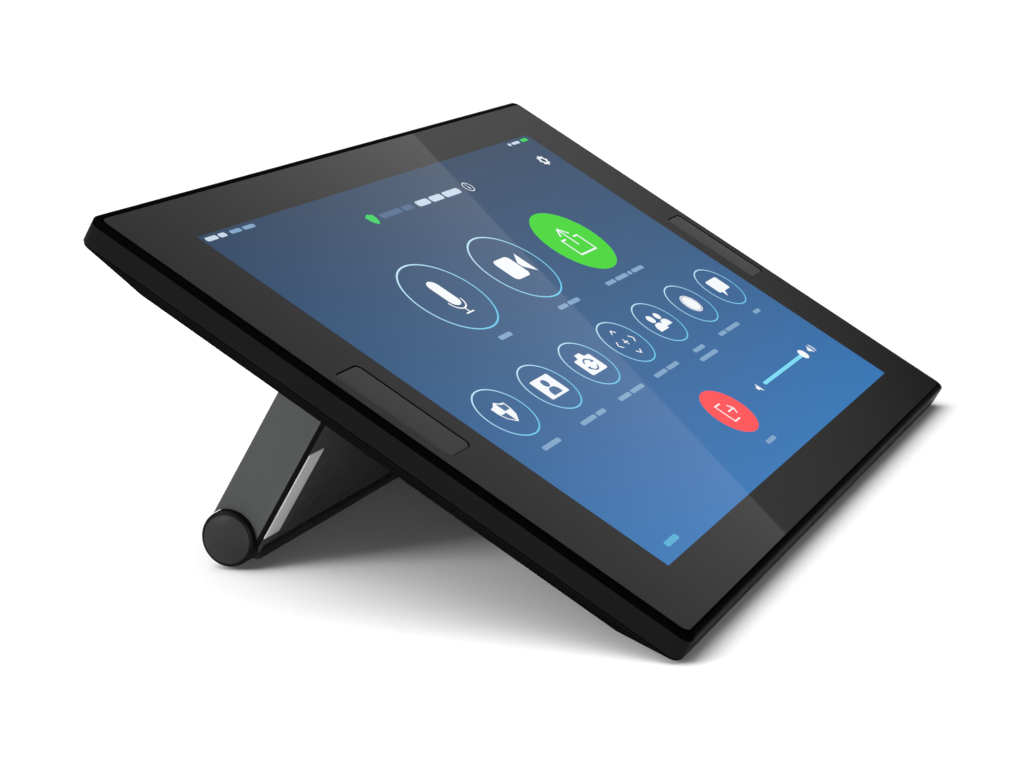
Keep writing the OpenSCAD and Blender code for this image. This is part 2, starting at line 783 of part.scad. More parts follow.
module foot_strip() {
    color([0.06, 0.06, 0.06]) translate([0, foot_level_y, 0])
        slab(strip_len, strip_w, 0.9, 0, strip_deep - 0.1);
}

// A plain metal tag near the leg's left edge
module tag_plate() {
    left_x = -leg_w / 2 + 0.4;
    low_z = -57.2;
    proud = 0.25;
    color([0.62, 0.62, 0.62]) in_head()
        block([left_x, leg_front_y - proud, low_z], [left_x + tag_w, leg_front_y, low_z + tag_len]);
}

cover_glass();
glass_tape();
touch_film();
lcd_panel();
diffuser_sheets();
light_guide();
led_bar();
backlight_tray();
driver_board();
display_ribbon();
touch_board();
touch_ribbon();
front_frame();
back_cover();
chassis_plate();
frame_screws();
housing_screws();
sensor_window_left();
sensor_window_right();
sensor_board_left();
sensor_board_right();
sensor_chips();
sensor_lead_left();
sensor_lead_right();
main_board();
processor();
memory_chips();
board_connectors();
board_screws();
thermal_pad();
heat_spreader();
front_feet();
leg_bracket();
bracket_screws();
leg_shell();
leg_screws();
side_panel_left();
side_panel_right();
cable_cover();
cover_magnets();
socket_board();
usb_sockets();
socket_screws();
board_ribbon();
cable_clamp();
cable_grommet();
foot_tube();
foot_screws();
foot_weight();
foot_cap_left();
foot_cap_right();
foot_strip();
tag_plate();
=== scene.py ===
import json
import math

import bmesh
import bpy
from mathutils import Matrix, Vector


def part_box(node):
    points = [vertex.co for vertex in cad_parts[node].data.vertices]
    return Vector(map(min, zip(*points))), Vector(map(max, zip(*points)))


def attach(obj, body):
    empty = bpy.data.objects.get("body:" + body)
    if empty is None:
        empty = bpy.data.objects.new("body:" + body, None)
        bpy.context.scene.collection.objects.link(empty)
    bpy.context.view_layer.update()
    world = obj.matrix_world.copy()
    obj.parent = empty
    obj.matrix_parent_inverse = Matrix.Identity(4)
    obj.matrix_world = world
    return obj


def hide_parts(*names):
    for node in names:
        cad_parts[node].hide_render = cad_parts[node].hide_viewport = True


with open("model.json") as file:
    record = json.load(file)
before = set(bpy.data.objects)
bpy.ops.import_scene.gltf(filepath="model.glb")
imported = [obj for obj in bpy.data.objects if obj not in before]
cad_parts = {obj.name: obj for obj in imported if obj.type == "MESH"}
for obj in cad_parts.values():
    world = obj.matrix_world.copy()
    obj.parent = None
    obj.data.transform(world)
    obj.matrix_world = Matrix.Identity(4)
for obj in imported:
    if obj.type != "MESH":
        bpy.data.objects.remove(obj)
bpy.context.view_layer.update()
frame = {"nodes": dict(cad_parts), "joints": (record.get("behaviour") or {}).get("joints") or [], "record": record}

NODES = frame["nodes"]
MM = 0.001
CONSOLE = "console"
REAR_COVER = "rear_cover"


# ---- the head's own frame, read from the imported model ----
# X runs to the right, Y up the screen and Z out of the glass; its origin is on the glass at the
# middle of the screen. Lengths in it are written in millimetres and turned to metres by MM.

UP_SCREEN = Vector(frame["joints"][0]["axis"])     # the cable cover slides parallel to the screen
TILT = math.atan2(UP_SCREEN.z, UP_SCREEN.y)


def head_frame():
    turn = Matrix.Rotation(TILT, 4, "X")
    low, high = turned_span("cover_glass", turn)
    middle = Vector(((low.x + high.x) / 2, (low.y + high.y) / 2, high.z))
    return Matrix.Translation(turn @ middle) @ turn


def turned_span(node, turn):
    """Lowest and highest corner of a CAD node in a turned frame."""
    back = turn.inverted()
    points = [back @ v.co for v in NODES[node].data.vertices]
    low = Vector([min(p[i] for p in points) for i in range(3)])
    high = Vector([max(p[i] for p in points) for i in range(3)])
    return low, high


HEAD = head_frame()
OUT_OF_GLASS = (HEAD.to_3x3() @ Vector((0, 0, 1))).normalized()
HERE = Matrix.Identity(4)      # for pieces drawn in the object's own frame


def span(node):
    """A CAD node's lowest and highest corner in the head's frame, in millimetres."""
    low, high = turned_span(node, HEAD)
    return low / MM, high / MM


# ---- the camera, at the viewing angle of the picture ----

CAMERA_IN_HEAD = Vector((-610.8, -124.9, 217.1)) * MM
CAMERA_HEADING = math.radians(68.71)      # turned from +Y towards +X
CAMERA_PITCH = math.radians(12.62)        # below the horizon
CAMERA_LENS = 85.64
SENSOR = 36.0


def make_camera():
    data = bpy.data.cameras.new("camera")
    data.lens = CAMERA_LENS
    data.sensor_width = SENSOR
    camera = bpy.data.objects.new("camera", data)
    bpy.context.scene.collection.objects.link(camera)
    camera.location = HEAD @ CAMERA_IN_HEAD
    camera.rotation_euler = (math.pi / 2 - CAMERA_PITCH, 0, -CAMERA_HEADING)
    bpy.context.scene.camera = camera


# ---- colours and materials ----

def linear(value):
    value = value / 255
    return value / 12.92 if value <= 0.04045 else ((value + 0.055) / 1.055) ** 2.4


def shade(red, green, blue):
    """A linear colour from display values of 0 to 255."""
    return (linear(red), linear(green), linear(blue), 1)


class Nodes:
    """A new node material, with short ways to add and join its nodes."""

    def __init__(self, name):
        self.material = bpy.data.materials.new(name)
        self.material.use_nodes = True
        self.tree = self.material.node_tree
        self.shader = self.tree.nodes["Principled BSDF"]
        self.coords = self.add("ShaderNodeTexCoord").outputs["Object"]

    def add(self, kind, **values):
        made = self.tree.nodes.new(kind)
        for key, value in values.items():
            if hasattr(made, key):
                setattr(made, key, value)
            else:
                made.inputs[key.replace("_", " ").title()].default_value = value
        return made

    def join(self, source, target):
        self.tree.links.new(source, target)

    def set(self, **values):
        for key, value in values.items():
            self.shader.inputs[key.replace("_", " ")].default_value = value

    def noise(self, scale, detail=3.0, stretch=(1, 1, 1)):
        source = self.coords
        if stretch != (1, 1, 1):
            mapping = self.add("ShaderNodeMapping")
            mapping.inputs["Scale"].default_value = stretch
            self.join(source, mapping.inputs["Vector"])
            source = mapping.outputs["Vector"]
        made = self.add("ShaderNodeTexNoise")
        made.inputs["Scale"].default_value = scale
        made.inputs["Detail"].default_value = detail
        self.join(source, made.inputs["Vector"])
        return made.outputs["Fac"]

    def ramp(self, source, stops):
        made = self.add("ShaderNodeValToRGB")
        elements = made.color_ramp.elements
        while len(elements) < len(stops):
            elements.new(0.5)
        for element, (place, colour) in zip(elements, stops):
            element.position = place
            element.color = colour
        self.join(source, made.inputs["Fac"])
        return made.outputs["Color"]

    def spread(self, source, low, high, start=0.3, end=0.7):
        made = self.add("ShaderNodeMapRange")
        for key, value in (("From Min", start), ("From Max", end), ("To Min", low), ("To Max", high)):
            made.inputs[key].default_value = value
        self.join(source, made.inputs["Value"])
        return made.outputs["Result"]

    def bump(self, source, depth, strength=1.0, under=None):
        made = self.add("ShaderNodeBump")
        made.inputs["Strength"].default_value = strength
        made.inputs["Distance"].default_value = depth
        self.join(source, made.inputs["Height"])
        if under is not None:
            self.join(under, made.inputs["Normal"])
        return made.outputs["Normal"]


def tone(colour, factor):
    return tuple(min(1.0, c * factor) for c in colour[:3]) + (1,)


def moulded(name, colour, rough, grain=3000.0, depth=0.015 * MM, spread=0.12, specular=0.5):
    """Moulded plastic or rubber: a fine grain, and slow drifts of colour and gloss."""
    n = Nodes(name)
    drift = n.noise(60.0, 4.0)
    fine = n.noise(grain, 2.0)
    n.join(n.ramp(drift, [(0.3, tone(colour, 1 - spread)), (0.7, tone(colour, 1 + spread))]),
           n.shader.inputs["Base Color"])
    n.join(n.spread(n.noise(180.0, 3.0), rough * 0.88, rough * 1.12), n.shader.inputs["Roughness"])
    n.join(n.bump(fine, depth), n.shader.inputs["Normal"])
    n.set(Specular_IOR_Level=specular)
    return n.material


def textured(name, colour, rough):
    """Spark-eroded plastic: pits in two sizes over a mottled grey."""
    n = Nodes(name)
    coarse = n.noise(2200.0, 2.0)
    fine = n.noise(5200.0, 2.0)
    mottled = n.ramp(coarse, [(0.3, tone(colour, 0.88)), (0.7, tone(colour, 1.12))])
    n.join(mottled, n.shader.inputs["Base Color"])
    n.join(n.spread(fine, rough * 0.85, min(1.0, rough * 1.15)), n.shader.inputs["Roughness"])
    under = n.bump(coarse, 0.05 * MM, 0.8)
    n.join(n.bump(fine, 0.02 * MM, 0.8, under), n.shader.inputs["Normal"])
    n.set(Specular_IOR_Level=0.35)
    return n.material


def polished(name, colour, rough, specular=0.5, spread=0.2):
    """A glossy black surface with faint smears."""
    n = Nodes(name)
    smear = n.noise(22.0, 5.0, (1, 2.2, 1))
    n.join(n.ramp(smear, [(0.3, tone(colour, 1 - spread)), (0.7, tone(colour, 1 + spread))]),
           n.shader.inputs["Base Color"])
    n.join(n.spread(smear, rough * 0.8, rough * 1.3), n.shader.inputs["Roughness"])
    n.set(Specular_IOR_Level=specular)
    return n.material


def metal(name, colour, rough, stretch=(1, 30, 30), scale=90.0, metallic=1.0):
    """Rolled or brushed metal, with fine lines along one direction."""
    n = Nodes(name)
    lines = n.noise(scale, 5.0, stretch)
    n.join(n.ramp(lines, [(0.3, tone(colour, 0.86)), (0.7, tone(colour, 1.1))]),
           n.shader.inputs["Base Color"])
    n.join(n.spread(lines, rough * 0.8, rough * 1.25), n.shader.inputs["Roughness"])
    n.join(n.bump(lines, 0.01 * MM, 0.5), n.shader.inputs["Normal"])
    n.set(Metallic=metallic)
    return n.material


def board(name, colour):
    """A circuit board's solder mask with faint tracks under it."""
    n = Nodes(name)
    tracks = n.add("ShaderNodeTexBrick")
    for key, value in (("Scale", 260.0), ("Mortar Size", 0.03), ("Bias", -0.2)):
        tracks.inputs[key].default_value = value
    tracks.inputs["Color1"].default_value = tone(colour, 0.85)
    tracks.inputs["Color2"].default_value = tone(colour, 1.0)
    tracks.inputs["Mortar"].default_value = tone(colour, 1.7)
    n.join(n.coords, tracks.inputs["Vector"])
    n.join(tracks.outputs["Color"], n.shader.inputs["Base Color"])
    n.join(n.spread(n.noise(300.0), 0.3, 0.45), n.shader.inputs["Roughness"])
    n.join(n.bump(tracks.outputs["Fac"], -0.02 * MM, 0.4), n.shader.inputs["Normal"])
    return n.material


def lit(name, colour, strength=1.0):
    """A lit part of the picture, seen through the polished glass."""
    n = Nodes(name)
    pixels = n.noise(2600.0, 1.0)
    n.join(n.ramp(pixels, [(0.3, tone(colour, 0.97)), (0.7, tone(colour, 1.03))]),
           n.shader.inputs["Emission Color"])
    n.join(n.spread(n.noise(22.0, 5.0, (1, 2.2, 1)), 0.012, 0.02), n.shader.inputs["Roughness"])
    n.set(Base_Color=(0.004, 0.004, 0.005, 1), Emission_Strength=strength)
    return n.material


def lit_by_attribute(name, attribute="tint"):
    """Lit picture whose colour runs smoothly from vertex to vertex."""
    n = Nodes(name)
    tint = n.add("ShaderNodeVertexColor")
    tint.layer_name = attribute
    n.join(tint.outputs["Color"], n.shader.inputs["Emission Color"])
    n.join(n.spread(n.noise(22.0, 5.0, (1, 2.2, 1)), 0.012, 0.02), n.shader.inputs["Roughness"])
    n.set(Base_Color=(0.004, 0.004, 0.005, 1), Emission_Strength=1.0)
    return n.material


MATERIALS = {
    "glass": polished("glass_black", (0.0030, 0.0030, 0.0034), 0.014),
    "sensor_glass": polished("sensor_black", (0.018, 0.018, 0.019), 0.3, 0.55),
    "frame_black": moulded("frame_black", (0.0042, 0.0042, 0.0044), 0.42, 5200.0, 0.006 * MM, 0.1, 0.025),
    # the rim's near-black matt copy of frame_black: painted shade that stands in for the rim's dark reflection
    "frame_rim_painted_dark": moulded("frame_rim_painted_dark", (0.0006, 0.0006, 0.0007), 0.3, 5200.0, 0.003 * MM, 0.1, 0.004),
    "shell_black": moulded("shell_black", (0.0040, 0.0040, 0.0042), 0.6, 3200.0, 0.02 * MM, 0.1, 0.0),
    # the leg shell's front: a lighter copy of shell_black, painted light against the shade under the head
    "leg_black_painted_light": moulded("leg_black_painted_light", (0.036, 0.036, 0.038), 0.5, 3200.0, 0.02 * MM, 0.1, 0.15),
    "grey_texture": textured("grey_texture", (0.031, 0.034, 0.033), 0.62),
    "foot_black": moulded("foot_black", (0.0022, 0.0022, 0.0024), 0.42, 3600.0, 0.012 * MM, 0.1, 0.06),
    # the foot cap's face: a lighter copy of foot_black, painted light for the lit dome
    "cap_face_painted_light": moulded("cap_face_painted_light", (0.0065, 0.0065, 0.007), 0.34, 3600.0, 0.012 * MM, 0.1, 0.3),
    "rubber": moulded("rubber", (0.012, 0.012, 0.012), 0.75, 2400.0, 0.03 * MM, 0.15, 0.3),
    "tag_metal": metal("tag_metal", (0.60, 0.60, 0.60), 0.4, (40, 1, 1), 120.0, 0.15),
    "clear_sheet": polished("clear_sheet", (0.6, 0.66, 0.7), 0.1),
    "white_sheet": moulded("white_sheet", (0.8, 0.8, 0.78), 0.6),
    "lcd": lit("lcd_lit", (0.03, 0.12, 0.26)),
    "tape": moulded("tape_black", (0.02, 0.02, 0.02), 0.7),
    "plate_metal": metal("plate_metal", (0.55, 0.56, 0.58), 0.38, (1, 24, 24), 70.0),
    "bracket_steel": metal("bracket_steel", (0.45, 0.46, 0.48), 0.34, (1, 18, 18), 80.0),
    "screw_steel": metal("screw_steel", (0.5, 0.5, 0.52), 0.3, (8, 8, 8), 200.0),
    "screw_black": metal("screw_black", (0.03, 0.03, 0.032), 0.38, (8, 8, 8), 200.0),
    "board_green": board("board_green", (0.012, 0.11, 0.05)),
    "ribbon": moulded("ribbon_film", (0.5, 0.2, 0.03), 0.35, 900.0),
    "chip": moulded("chip_black", (0.025, 0.025, 0.028), 0.45),
    "connector": moulded("connector_white", (0.62, 0.58, 0.5), 0.45),
    "led": moulded("led_bar", (0.7, 0.66, 0.4), 0.4),
    "gap_pad": moulded("gap_pad", (0.25, 0.34, 0.45), 0.8),
    "magnet": metal("magnet_nickel", (0.62, 0.62, 0.64), 0.18, (1, 1, 1), 400.0),
    "socket_metal": metal("socket_metal", (0.55, 0.55, 0.57), 0.26, (1, 1, 20), 150.0),
    "clamp_plastic": moulded("clamp_plastic", (0.022, 0.022, 0.024), 0.5),
}


# ---- mesh helpers ----

def rounded(w, h, r, steps=10, at=(0, 0)):
    """Points of a rounded rectangle, anticlockwise, in millimetres."""
    points = []
    for corner in range(4):
        sign_x = (1, -1, -1, 1)[corner]
        sign_y = (1, 1, -1, -1)[corner]
        for i in range(steps + 1):
            a = math.radians(90 * (corner + i / steps))
            points.append((at[0] + sign_x * (w / 2 - r) + r * math.cos(a),
                           at[1] + sign_y * (h / 2 - r) + r * math.sin(a)))
    return points


def ellipse(at, rx, ry, count=64):
    return [(at[0] + rx * math.cos(math.tau * i / count), at[1] + ry * math.sin(math.tau * i / count))
            for i in range(count)]


def level(points, z):
    return [(x, y, z) for x, y in points]


def loft(bm, loops, closed=False):
    """Joins loops of equally many points into a capped skin; closed makes a ring of it instead."""
    rows = [[bm.verts.new(Vector(p) * MM) for p in loop] for loop in loops]
    count = len(rows[0])
    pairs = list(zip(rows, rows[1:])) + ([(rows[-1], rows[0])] if closed else [])
    for low, high in pairs:
        for i in range(count):
            j = (i + 1) % count
            bm.faces.new((low[i], low[j], high[j], high[i]))
    if not closed:
        bm.faces.new(list(reversed(rows[0])))
        bm.faces.new(rows[-1])


def prism(bm, points, low_z, high_z):
    loft(bm, [level(points, low_z), level(points, high_z)])


def smooth(mesh, angle=32):
    for polygon in mesh.polygons:
        polygon.use_smooth = True
    mesh.set_sharp_from_angle(angle=math.radians(angle))


def piece(name, bm, material, replaced=(), body=CONSOLE, place=None, angle=32):
    """Turns a bmesh into a finished piece riding on a body; it is drawn in the head's frame by default."""
    bmesh.ops.recalc_face_normals(bm, faces=bm.faces)
    mesh = bpy.data.meshes.new(name)
    bm.to_mesh(mesh)
    bm.free()
    mesh.transform(HEAD if place is None else place)
    smooth(mesh, angle)
    made = bpy.data.objects.new(name, mesh)
    bpy.context.scene.collection.objects.link(made)
    mesh.materials.append(material)
    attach(made, body)
    if replaced:
        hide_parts(*replaced)
    return made


def use_modifier(target, kind, **values):
    """Adds a modifier and applies it to the mesh at once."""
    modifier = target.modifiers.new(kind.lower(), kind)
    for key, value in values.items():
        setattr(modifier, key, value)
    evaluated = target.evaluated_get(bpy.context.evaluated_depsgraph_get())
    mesh = bpy.data.meshes.new_from_object(evaluated)
    target.modifiers.clear()
    old = target.data
    target.data = mesh
    bpy.data.meshes.remove(old)
    mesh.name = target.name


def repaint(target, material, inside):
    """Gives a second material to the faces whose middle, in the head's frame, passes a test."""
    back = HEAD.inverted()
    target.data.materials.append(material)
    for polygon in target.data.polygons:
        if inside(back @ polygon.center / MM):
            polygon.material_index = 1


def cut_away(target, shapes, place=None, angle=32):
    """Cuts shapes, a list of functions that each draw into a bmesh, out of the target."""
    bm = bmesh.new()
    for draw in shapes:
        draw(bm)
    bmesh.ops.recalc_face_normals(bm, faces=bm.faces)
    mesh = bpy.data.meshes.new("cutter")
    bm.to_mesh(mesh)
    bm.free()
    mesh.transform(HEAD if place is None else place)
    cutter = bpy.data.objects.new("cutter", mesh)
    bpy.context.scene.collection.objects.link(cutter)
    use_modifier(target, "BOOLEAN", object=cutter, operation="DIFFERENCE", solver="EXACT")
    bpy.data.objects.remove(cutter)
    bpy.data.meshes.remove(mesh)
    smooth(target.data, angle)


def softened(node, name, width, slot, body=CONSOLE, segments=3, material=None):
    """The CAD node's own shape with its hard edges rounded by width, in millimetres."""
    bm = bmesh.new()
    bm.from_mesh(NODES[node].data)
    bmesh.ops.remove_doubles(bm, verts=bm.verts, dist=0.0005 * MM)
    bmesh.ops.dissolve_limit(bm, angle_limit=math.radians(0.4), verts=bm.verts, edges=bm.edges)
    hard = [e for e in bm.edges if len(e.link_faces) == 2 and e.calc_face_angle(0) > math.radians(32)]
    bmesh.ops.bevel(bm, geom=hard, offset=width * MM, segments=segments, affect="EDGES",
                    profile=0.5, clamp_overlap=True)
    bmesh.ops.triangulate(bm, faces=[f for f in bm.faces if len(f.verts) > 4])
    return piece(name, bm, MATERIALS[material or slot], [node], body, HERE, 28)


# ---- head ----

GLASS_LOW, GLASS_HIGH = span("cover_glass")
FRAME_LOW, FRAME_HIGH = span("front_frame")
COVER_LOW = span("back_cover")[0]
GLASS_W = GLASS_HIGH.x - GLASS_LOW.x
GLASS_H = GLASS_HIGH.y - GLASS_LOW.y
HEAD_W = FRAME_HIGH.x - FRAME_LOW.x
HEAD_H = FRAME_HIGH.y - FRAME_LOW.y
HEAD_R = 3.0
GLASS_R = 2.2
GLASS_T = GLASS_HIGH.z - GLASS_LOW.z
RIM_LOW_Z = -1.6           # above this the rim is painted near-black and matt, a painted dark reflection; the satin side begins here
SKIRT_W = 3.4              # ring width around the chassis plate
CORNER_STEPS = 14
SEAM_GAP = 0.3             # between the frame and the back cover
COVER_TOP_Z = FRAME_LOW.z - SEAM_GAP
SIDE_RUN = 12.2            # how far the back slopes in at the sides
TOP_RUN = 11.6             # and above
WINDOW_H = 32.6
WINDOW_R = 1.75
WINDOW_GAP = 0.17          # all round a sensor window
WINDOW_LOW, WINDOW_HIGH = span("sensor_window_right")
WINDOW_X = (WINDOW_LOW.x + WINDOW_HIGH.x) / 2


def fillet(radius, count):
    """Quarter-circle steps as (inset, drop) pairs, from the side wall to the top face."""
    return [(radius * (1 - math.cos(a)), radius * (1 - math.sin(a)))
            for a in (math.pi / 2 * i / count for i in range(count + 1))]


def make_front_frame():
    rim_z = FRAME_HIGH.z
    seam_z = FRAME_LOW.z
    edge_r = 0.88
    rim_x = (HEAD_W - GLASS_W) / 2 - 0.22
    rim_y = (HEAD_H - GLASS_H) / 2 - 0.22
    ledge_z = -GLASS_T - 0.3
    profile = [(0.3, 0.3, seam_z), (0.08, 0.08, seam_z + 0.08), (0, 0, seam_z + 0.3), (0, 0, RIM_LOW_Z)]
    profile += [(i, i, rim_z - d) for i, d in fillet(edge_r, 6)]
    profile += [(rim_x - 0.12, rim_y - 0.12, rim_z), (rim_x, rim_y, rim_z - 0.12), (rim_x, rim_y, ledge_z)]
    profile += [(4.9, 5.4, ledge_z), (4.9, 5.4, -4.4), (SKIRT_W, SKIRT_W, -4.4), (SKIRT_W, SKIRT_W, seam_z)]
    loops = [level(rounded(HEAD_W - 2 * ix, HEAD_H - 2 * iy, max(0.8, HEAD_R - ix), CORNER_STEPS), z)
             for ix, iy, z in profile]
    bm = bmesh.new()
    loft(bm, loops, closed=True)
    ring = piece("front_frame_rim", bm, MATERIALS["frame_black"], ["front_frame"])
    # the rim above RIM_LOW_Z is painted near-black and matt: painted shade in place of its dark reflection
    repaint(ring, MATERIALS["frame_rim_painted_dark"], lambda p: p.z > RIM_LOW_Z)


def window_hole(x):
    w = WINDOW_HIGH.x - WINDOW_LOW.x + 2 * WINDOW_GAP
    h = WINDOW_H + 2 * WINDOW_GAP
    return lambda bm: prism(bm, rounded(w, h, 1.9, 8, (x, 0)), -3, 1)


def make_cover_glass():
    edge = 0.28
    loops = [level(rounded(GLASS_W, GLASS_H, GLASS_R, CORNER_STEPS), GLASS_LOW.z)]
    loops += [level(rounded(GLASS_W - 2 * i, GLASS_H - 2 * i, GLASS_R - i, CORNER_STEPS), -d)
              for i, d in fillet(edge, 4)]
    bm = bmesh.new()
    loft(bm, loops)
    glass = piece("cover_glass_plate", bm, MATERIALS["glass"], ["cover_glass"], angle=15)
    cut_away(glass, [window_hole(-WINDOW_X), window_hole(WINDOW_X)], angle=15)
    # the glass's edges, window walls and underside get the rim's near-black matt paint: painted shade in place of
    # their reflection
    repaint(glass, MATERIALS["frame_rim_painted_dark"], lambda p: p.z < -0.004)
    # the top is shaded flat, so that straight reflections stay straight
    for polygon in glass.data.polygons:
        if polygon.normal.dot(OUT_OF_GLASS) > 0.9999:
            polygon.use_smooth = False


def make_sensor_window(side, node):
    """A dark window with a gently crowned face."""
    low, high = span(node)
    x = (low.x + high.x) / 2
    w = high.x - low.x
    edge = 0.35
    sunk = 0.12                # the face's edge lies this far below the glass
    crown = 0.3 * (high.z + sunk)
    steps = 9

    def outline(inset, z):
        radius = max(0.12, WINDOW_R - inset)
        return level(rounded(w - 2 * inset, WINDOW_H - 2 * inset, radius, 8, (x, 0)), z)

    loops = [outline(0, low.z)] + [outline(i, -sunk - d) for i, d in fillet(edge, 4)]
    for i in range(1, steps):
        rise = crown * (1 - (1 - i / steps) ** 2)
        loops.append(outline(edge + (w / 2 - edge) * i / steps, rise - sunk))
    bm = bmesh.new()
    loft(bm, loops)
    piece("sensor_window_face_" + side, bm, MATERIALS["sensor_glass"], [node])


def make_back_cover():
    """A cup whose walls slope in by a different run at the sides, above and below."""
    top_z = COVER_TOP_Z
    low_z = COVER_LOW.z
    depth = top_z - low_z
    runs = Vector((SIDE_RUN, TOP_RUN, depth / math.tan(TILT)))
    wall = 1.8
    turn_r = 0.7               # where the slopes meet the flat back
    lip_in = SKIRT_W + 0.2
    lip_t = 1.2
    lip_rise = 1.2
    lip_root = 1.4

    def outline(inset, radius, z):
        side, top, bottom = inset
        middle = (0, (bottom - top) / 2)
        return level(rounded(HEAD_W - 2 * side, HEAD_H - top - bottom, radius, CORNER_STEPS, middle), z)

    def all_round(value):
        return Vector((value, value, value))

    outer = [outline(all_round(0.3), HEAD_R, top_z),
             outline(runs * 0.02 + all_round(0.1), HEAD_R, top_z - depth * 0.02)]
    outer += [outline(runs * t, HEAD_R + t, top_z - depth * t) for t in (0.03, 0.25, 0.5, 0.75)]
    outer += [outline(runs + all_round(along * turn_r), HEAD_R + 1, low_z + up * turn_r)
              for along, up in ((-0.9, 0.5), (-0.35, 0.17), (0.3, 0.03), (1, 0))]
    floor_z = low_z + wall
    part = (top_z - floor_z) / depth
    inside = [outline(runs * part + all_round(wall + 0.4), HEAD_R, floor_z),
              outline(runs * part + all_round(wall), HEAD_R, floor_z + 0.2)]
    # the lip that stands inside the frame and closes the seam
    inside += [outline(all_round(lip_in + lip_t), 1, top_z - lip_root),
               outline(all_round(lip_in + lip_t), 1, top_z + lip_rise),
               outline(all_round(lip_in), 2, top_z + lip_rise), outline(all_round(lip_in), 2, top_z)]
    bm = bmesh.new()
    loft(bm, outer[::-1] + inside[::-1])
    cover = piece("back_cover_shell", bm, MATERIALS["shell_black"], ["back_cover"])
    low, high = span("leg_bracket")
    slot_low = Vector((low.x - 0.6, low.y - 0.4, low_z - 1))
    slot_high = Vector((high.x + 0.6, low.y + 3.6, low_z + 3))
    shapes = [lambda bm: box_shape(bm, slot_low, slot_high)]
    for x, y in screw_spots():
        shapes.append(lambda bm, x=x, y=y: stepped_hole(bm, x, y, low_z))
    cut_away(cover, shapes)
    cut_away(cover, [pad_recess(spot) for spot in pad_spots()], HERE)


def box_shape(bm, low, high):
    prism(bm, [(low.x, low.y), (high.x, low.y), (high.x, high.y), (low.x, high.y)], low.z, high.z)


def stepped_hole(bm, x, y, low_z):
    """A countersunk screw hole, with a small lead-in at its mouth."""
    mouth_r, head_r, shank_r = 2.95, 2.7, 1.25
    profile = [(mouth_r, -1), (mouth_r, -0.001), (head_r, 0.25), (head_r, 1.2), (shank_r, 1.2), (shank_r, 3)]
    loft(bm, [level(ellipse((x, y), r, r, 40), low_z + rise) for r, rise in profile])


def node_islands(node):
    """Boxes, in the head's frame and in millimetres, of the separate solids in a CAD node."""
    bm = bmesh.new()
    bm.from_mesh(NODES[node].data)
    bmesh.ops.remove_doubles(bm, verts=bm.verts, dist=0.0005 * MM)
    bm.verts.ensure_lookup_table()
    back = HEAD.inverted()
    seen, found = set(), []
    for start in bm.verts:
        if start.index in seen:
            continue
        stack, group = [start], []
        seen.add(start.index)
        while stack:
            v = stack.pop()
            group.append(back @ v.co / MM)
            for e in v.link_edges:
                other = e.other_vert(v)
                if other.index not in seen:
                    seen.add(other.index)
                    stack.append(other)
        found.append((Vector([min(p[i] for p in group) for i in range(3)]),
                      Vector([max(p[i] for p in group) for i in range(3)])))
    bm.free()
    return found


def screw_spots():
    return [((low.x + high.x) / 2, (low.y + high.y) / 2) for low, high in node_islands("housing_screws")]


PAD_COUNT = 3
PAD_LENGTH = 48
PAD_R = 3
PAD_GAP = 0.15             # all round a pad in its recess


def flat_box(node):
    """A CAD node's middle, width, depth and top in the object's frame, in millimetres."""
    low, high = (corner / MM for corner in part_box(node))
    return ((low.x + high.x) / 2, (low.y + high.y) / 2), high.x - low.x, high.y - low.y, high.z


def pad_spots():
    """The middles of the rubber pads, one beside the other along X."""
    (x, y), w, _, _ = flat_box("front_feet")
    step = (w - PAD_LENGTH) / (PAD_COUNT - 1)
    return [(x + (i - (PAD_COUNT - 1) / 2) * step, y) for i in range(PAD_COUNT)]


def pad_recess(spot):
    _, _, h, top = flat_box("front_feet")
    points = rounded(PAD_LENGTH + 2 * PAD_GAP, h + 2 * PAD_GAP, PAD_R, 8, spot)
    return lambda bm: prism(bm, points, -1, top)


def make_pads():
    _, _, h, top = flat_box("front_feet")
    for i, spot in enumerate(pad_spots()):
        loops = [level(rounded(PAD_LENGTH - 2 * inset, h - 2 * inset, PAD_R - inset, 8, spot), z)
                 for inset, z in ((0.35, 0), (0.1, 0.08), (0, 0.3), (0, top))]
        bm = bmesh.new()
        loft(bm, loops)
        replaced = ["front_feet"] if i == 0 else []
        piece(f"front_foot_{i + 1}", bm, MATERIALS["rubber"], replaced, place=HERE)


# ---- foot ----

FOOT_LOW, FOOT_HIGH = span("foot_tube")
FOOT_Y = (FOOT_LOW.y + FOOT_HIGH.y) / 2
FOOT_R = (FOOT_HIGH.y - FOOT_LOW.y) / 2
FOOT_Z = sum(span("foot_cap_left")[i].z for i in (0, 1)) / 2


def around_x(bm, profile, count=96, side=1):
    """Turns a profile of (x, radius) points about the foot's axis."""
    turns = [math.tau * i / count for i in range(count)]
    loft(bm, [[(side * x, FOOT_Y + r * math.cos(a), FOOT_Z + r * math.sin(a)) for a in turns]
              for x, r in profile])


def make_foot_tube():
    end = FOOT_HIGH.x
    edge = 0.25
    wall = 2.6
    flat_depth = 0.4           # of the flat on top that the leg bracket stands on
    bm = bmesh.new()
    around_x(bm, [(-end, FOOT_R - edge), (-end + edge, FOOT_R), (end - edge, FOOT_R), (end, FOOT_R - edge)])
    tube = piece("foot_tube_skin", bm, MATERIALS["foot_black"], ["foot_tube"])
    half = span("leg_bracket")[1].x + 0.5

    def bore(bm):
        around_x(bm, [(-end - 1, FOOT_R - wall), (end + 1, FOOT_R - wall)], 64)

    def flat(bm):
        top = FOOT_Z + FOOT_R
        box_shape(bm, Vector((-half, FOOT_Y - 5, top - flat_depth)), Vector((half, FOOT_Y + 5, top + 2)))

    def groove(bm):
        (_, y), w, h, top = flat_box("foot_strip")
        prism(bm, rounded(w + 0.3, h + 0.3, 1, 6, (0, y)), -1, top + 0.1)

    cut_away(tube, [bore, flat])
    cut_away(tube, [groove], HERE)


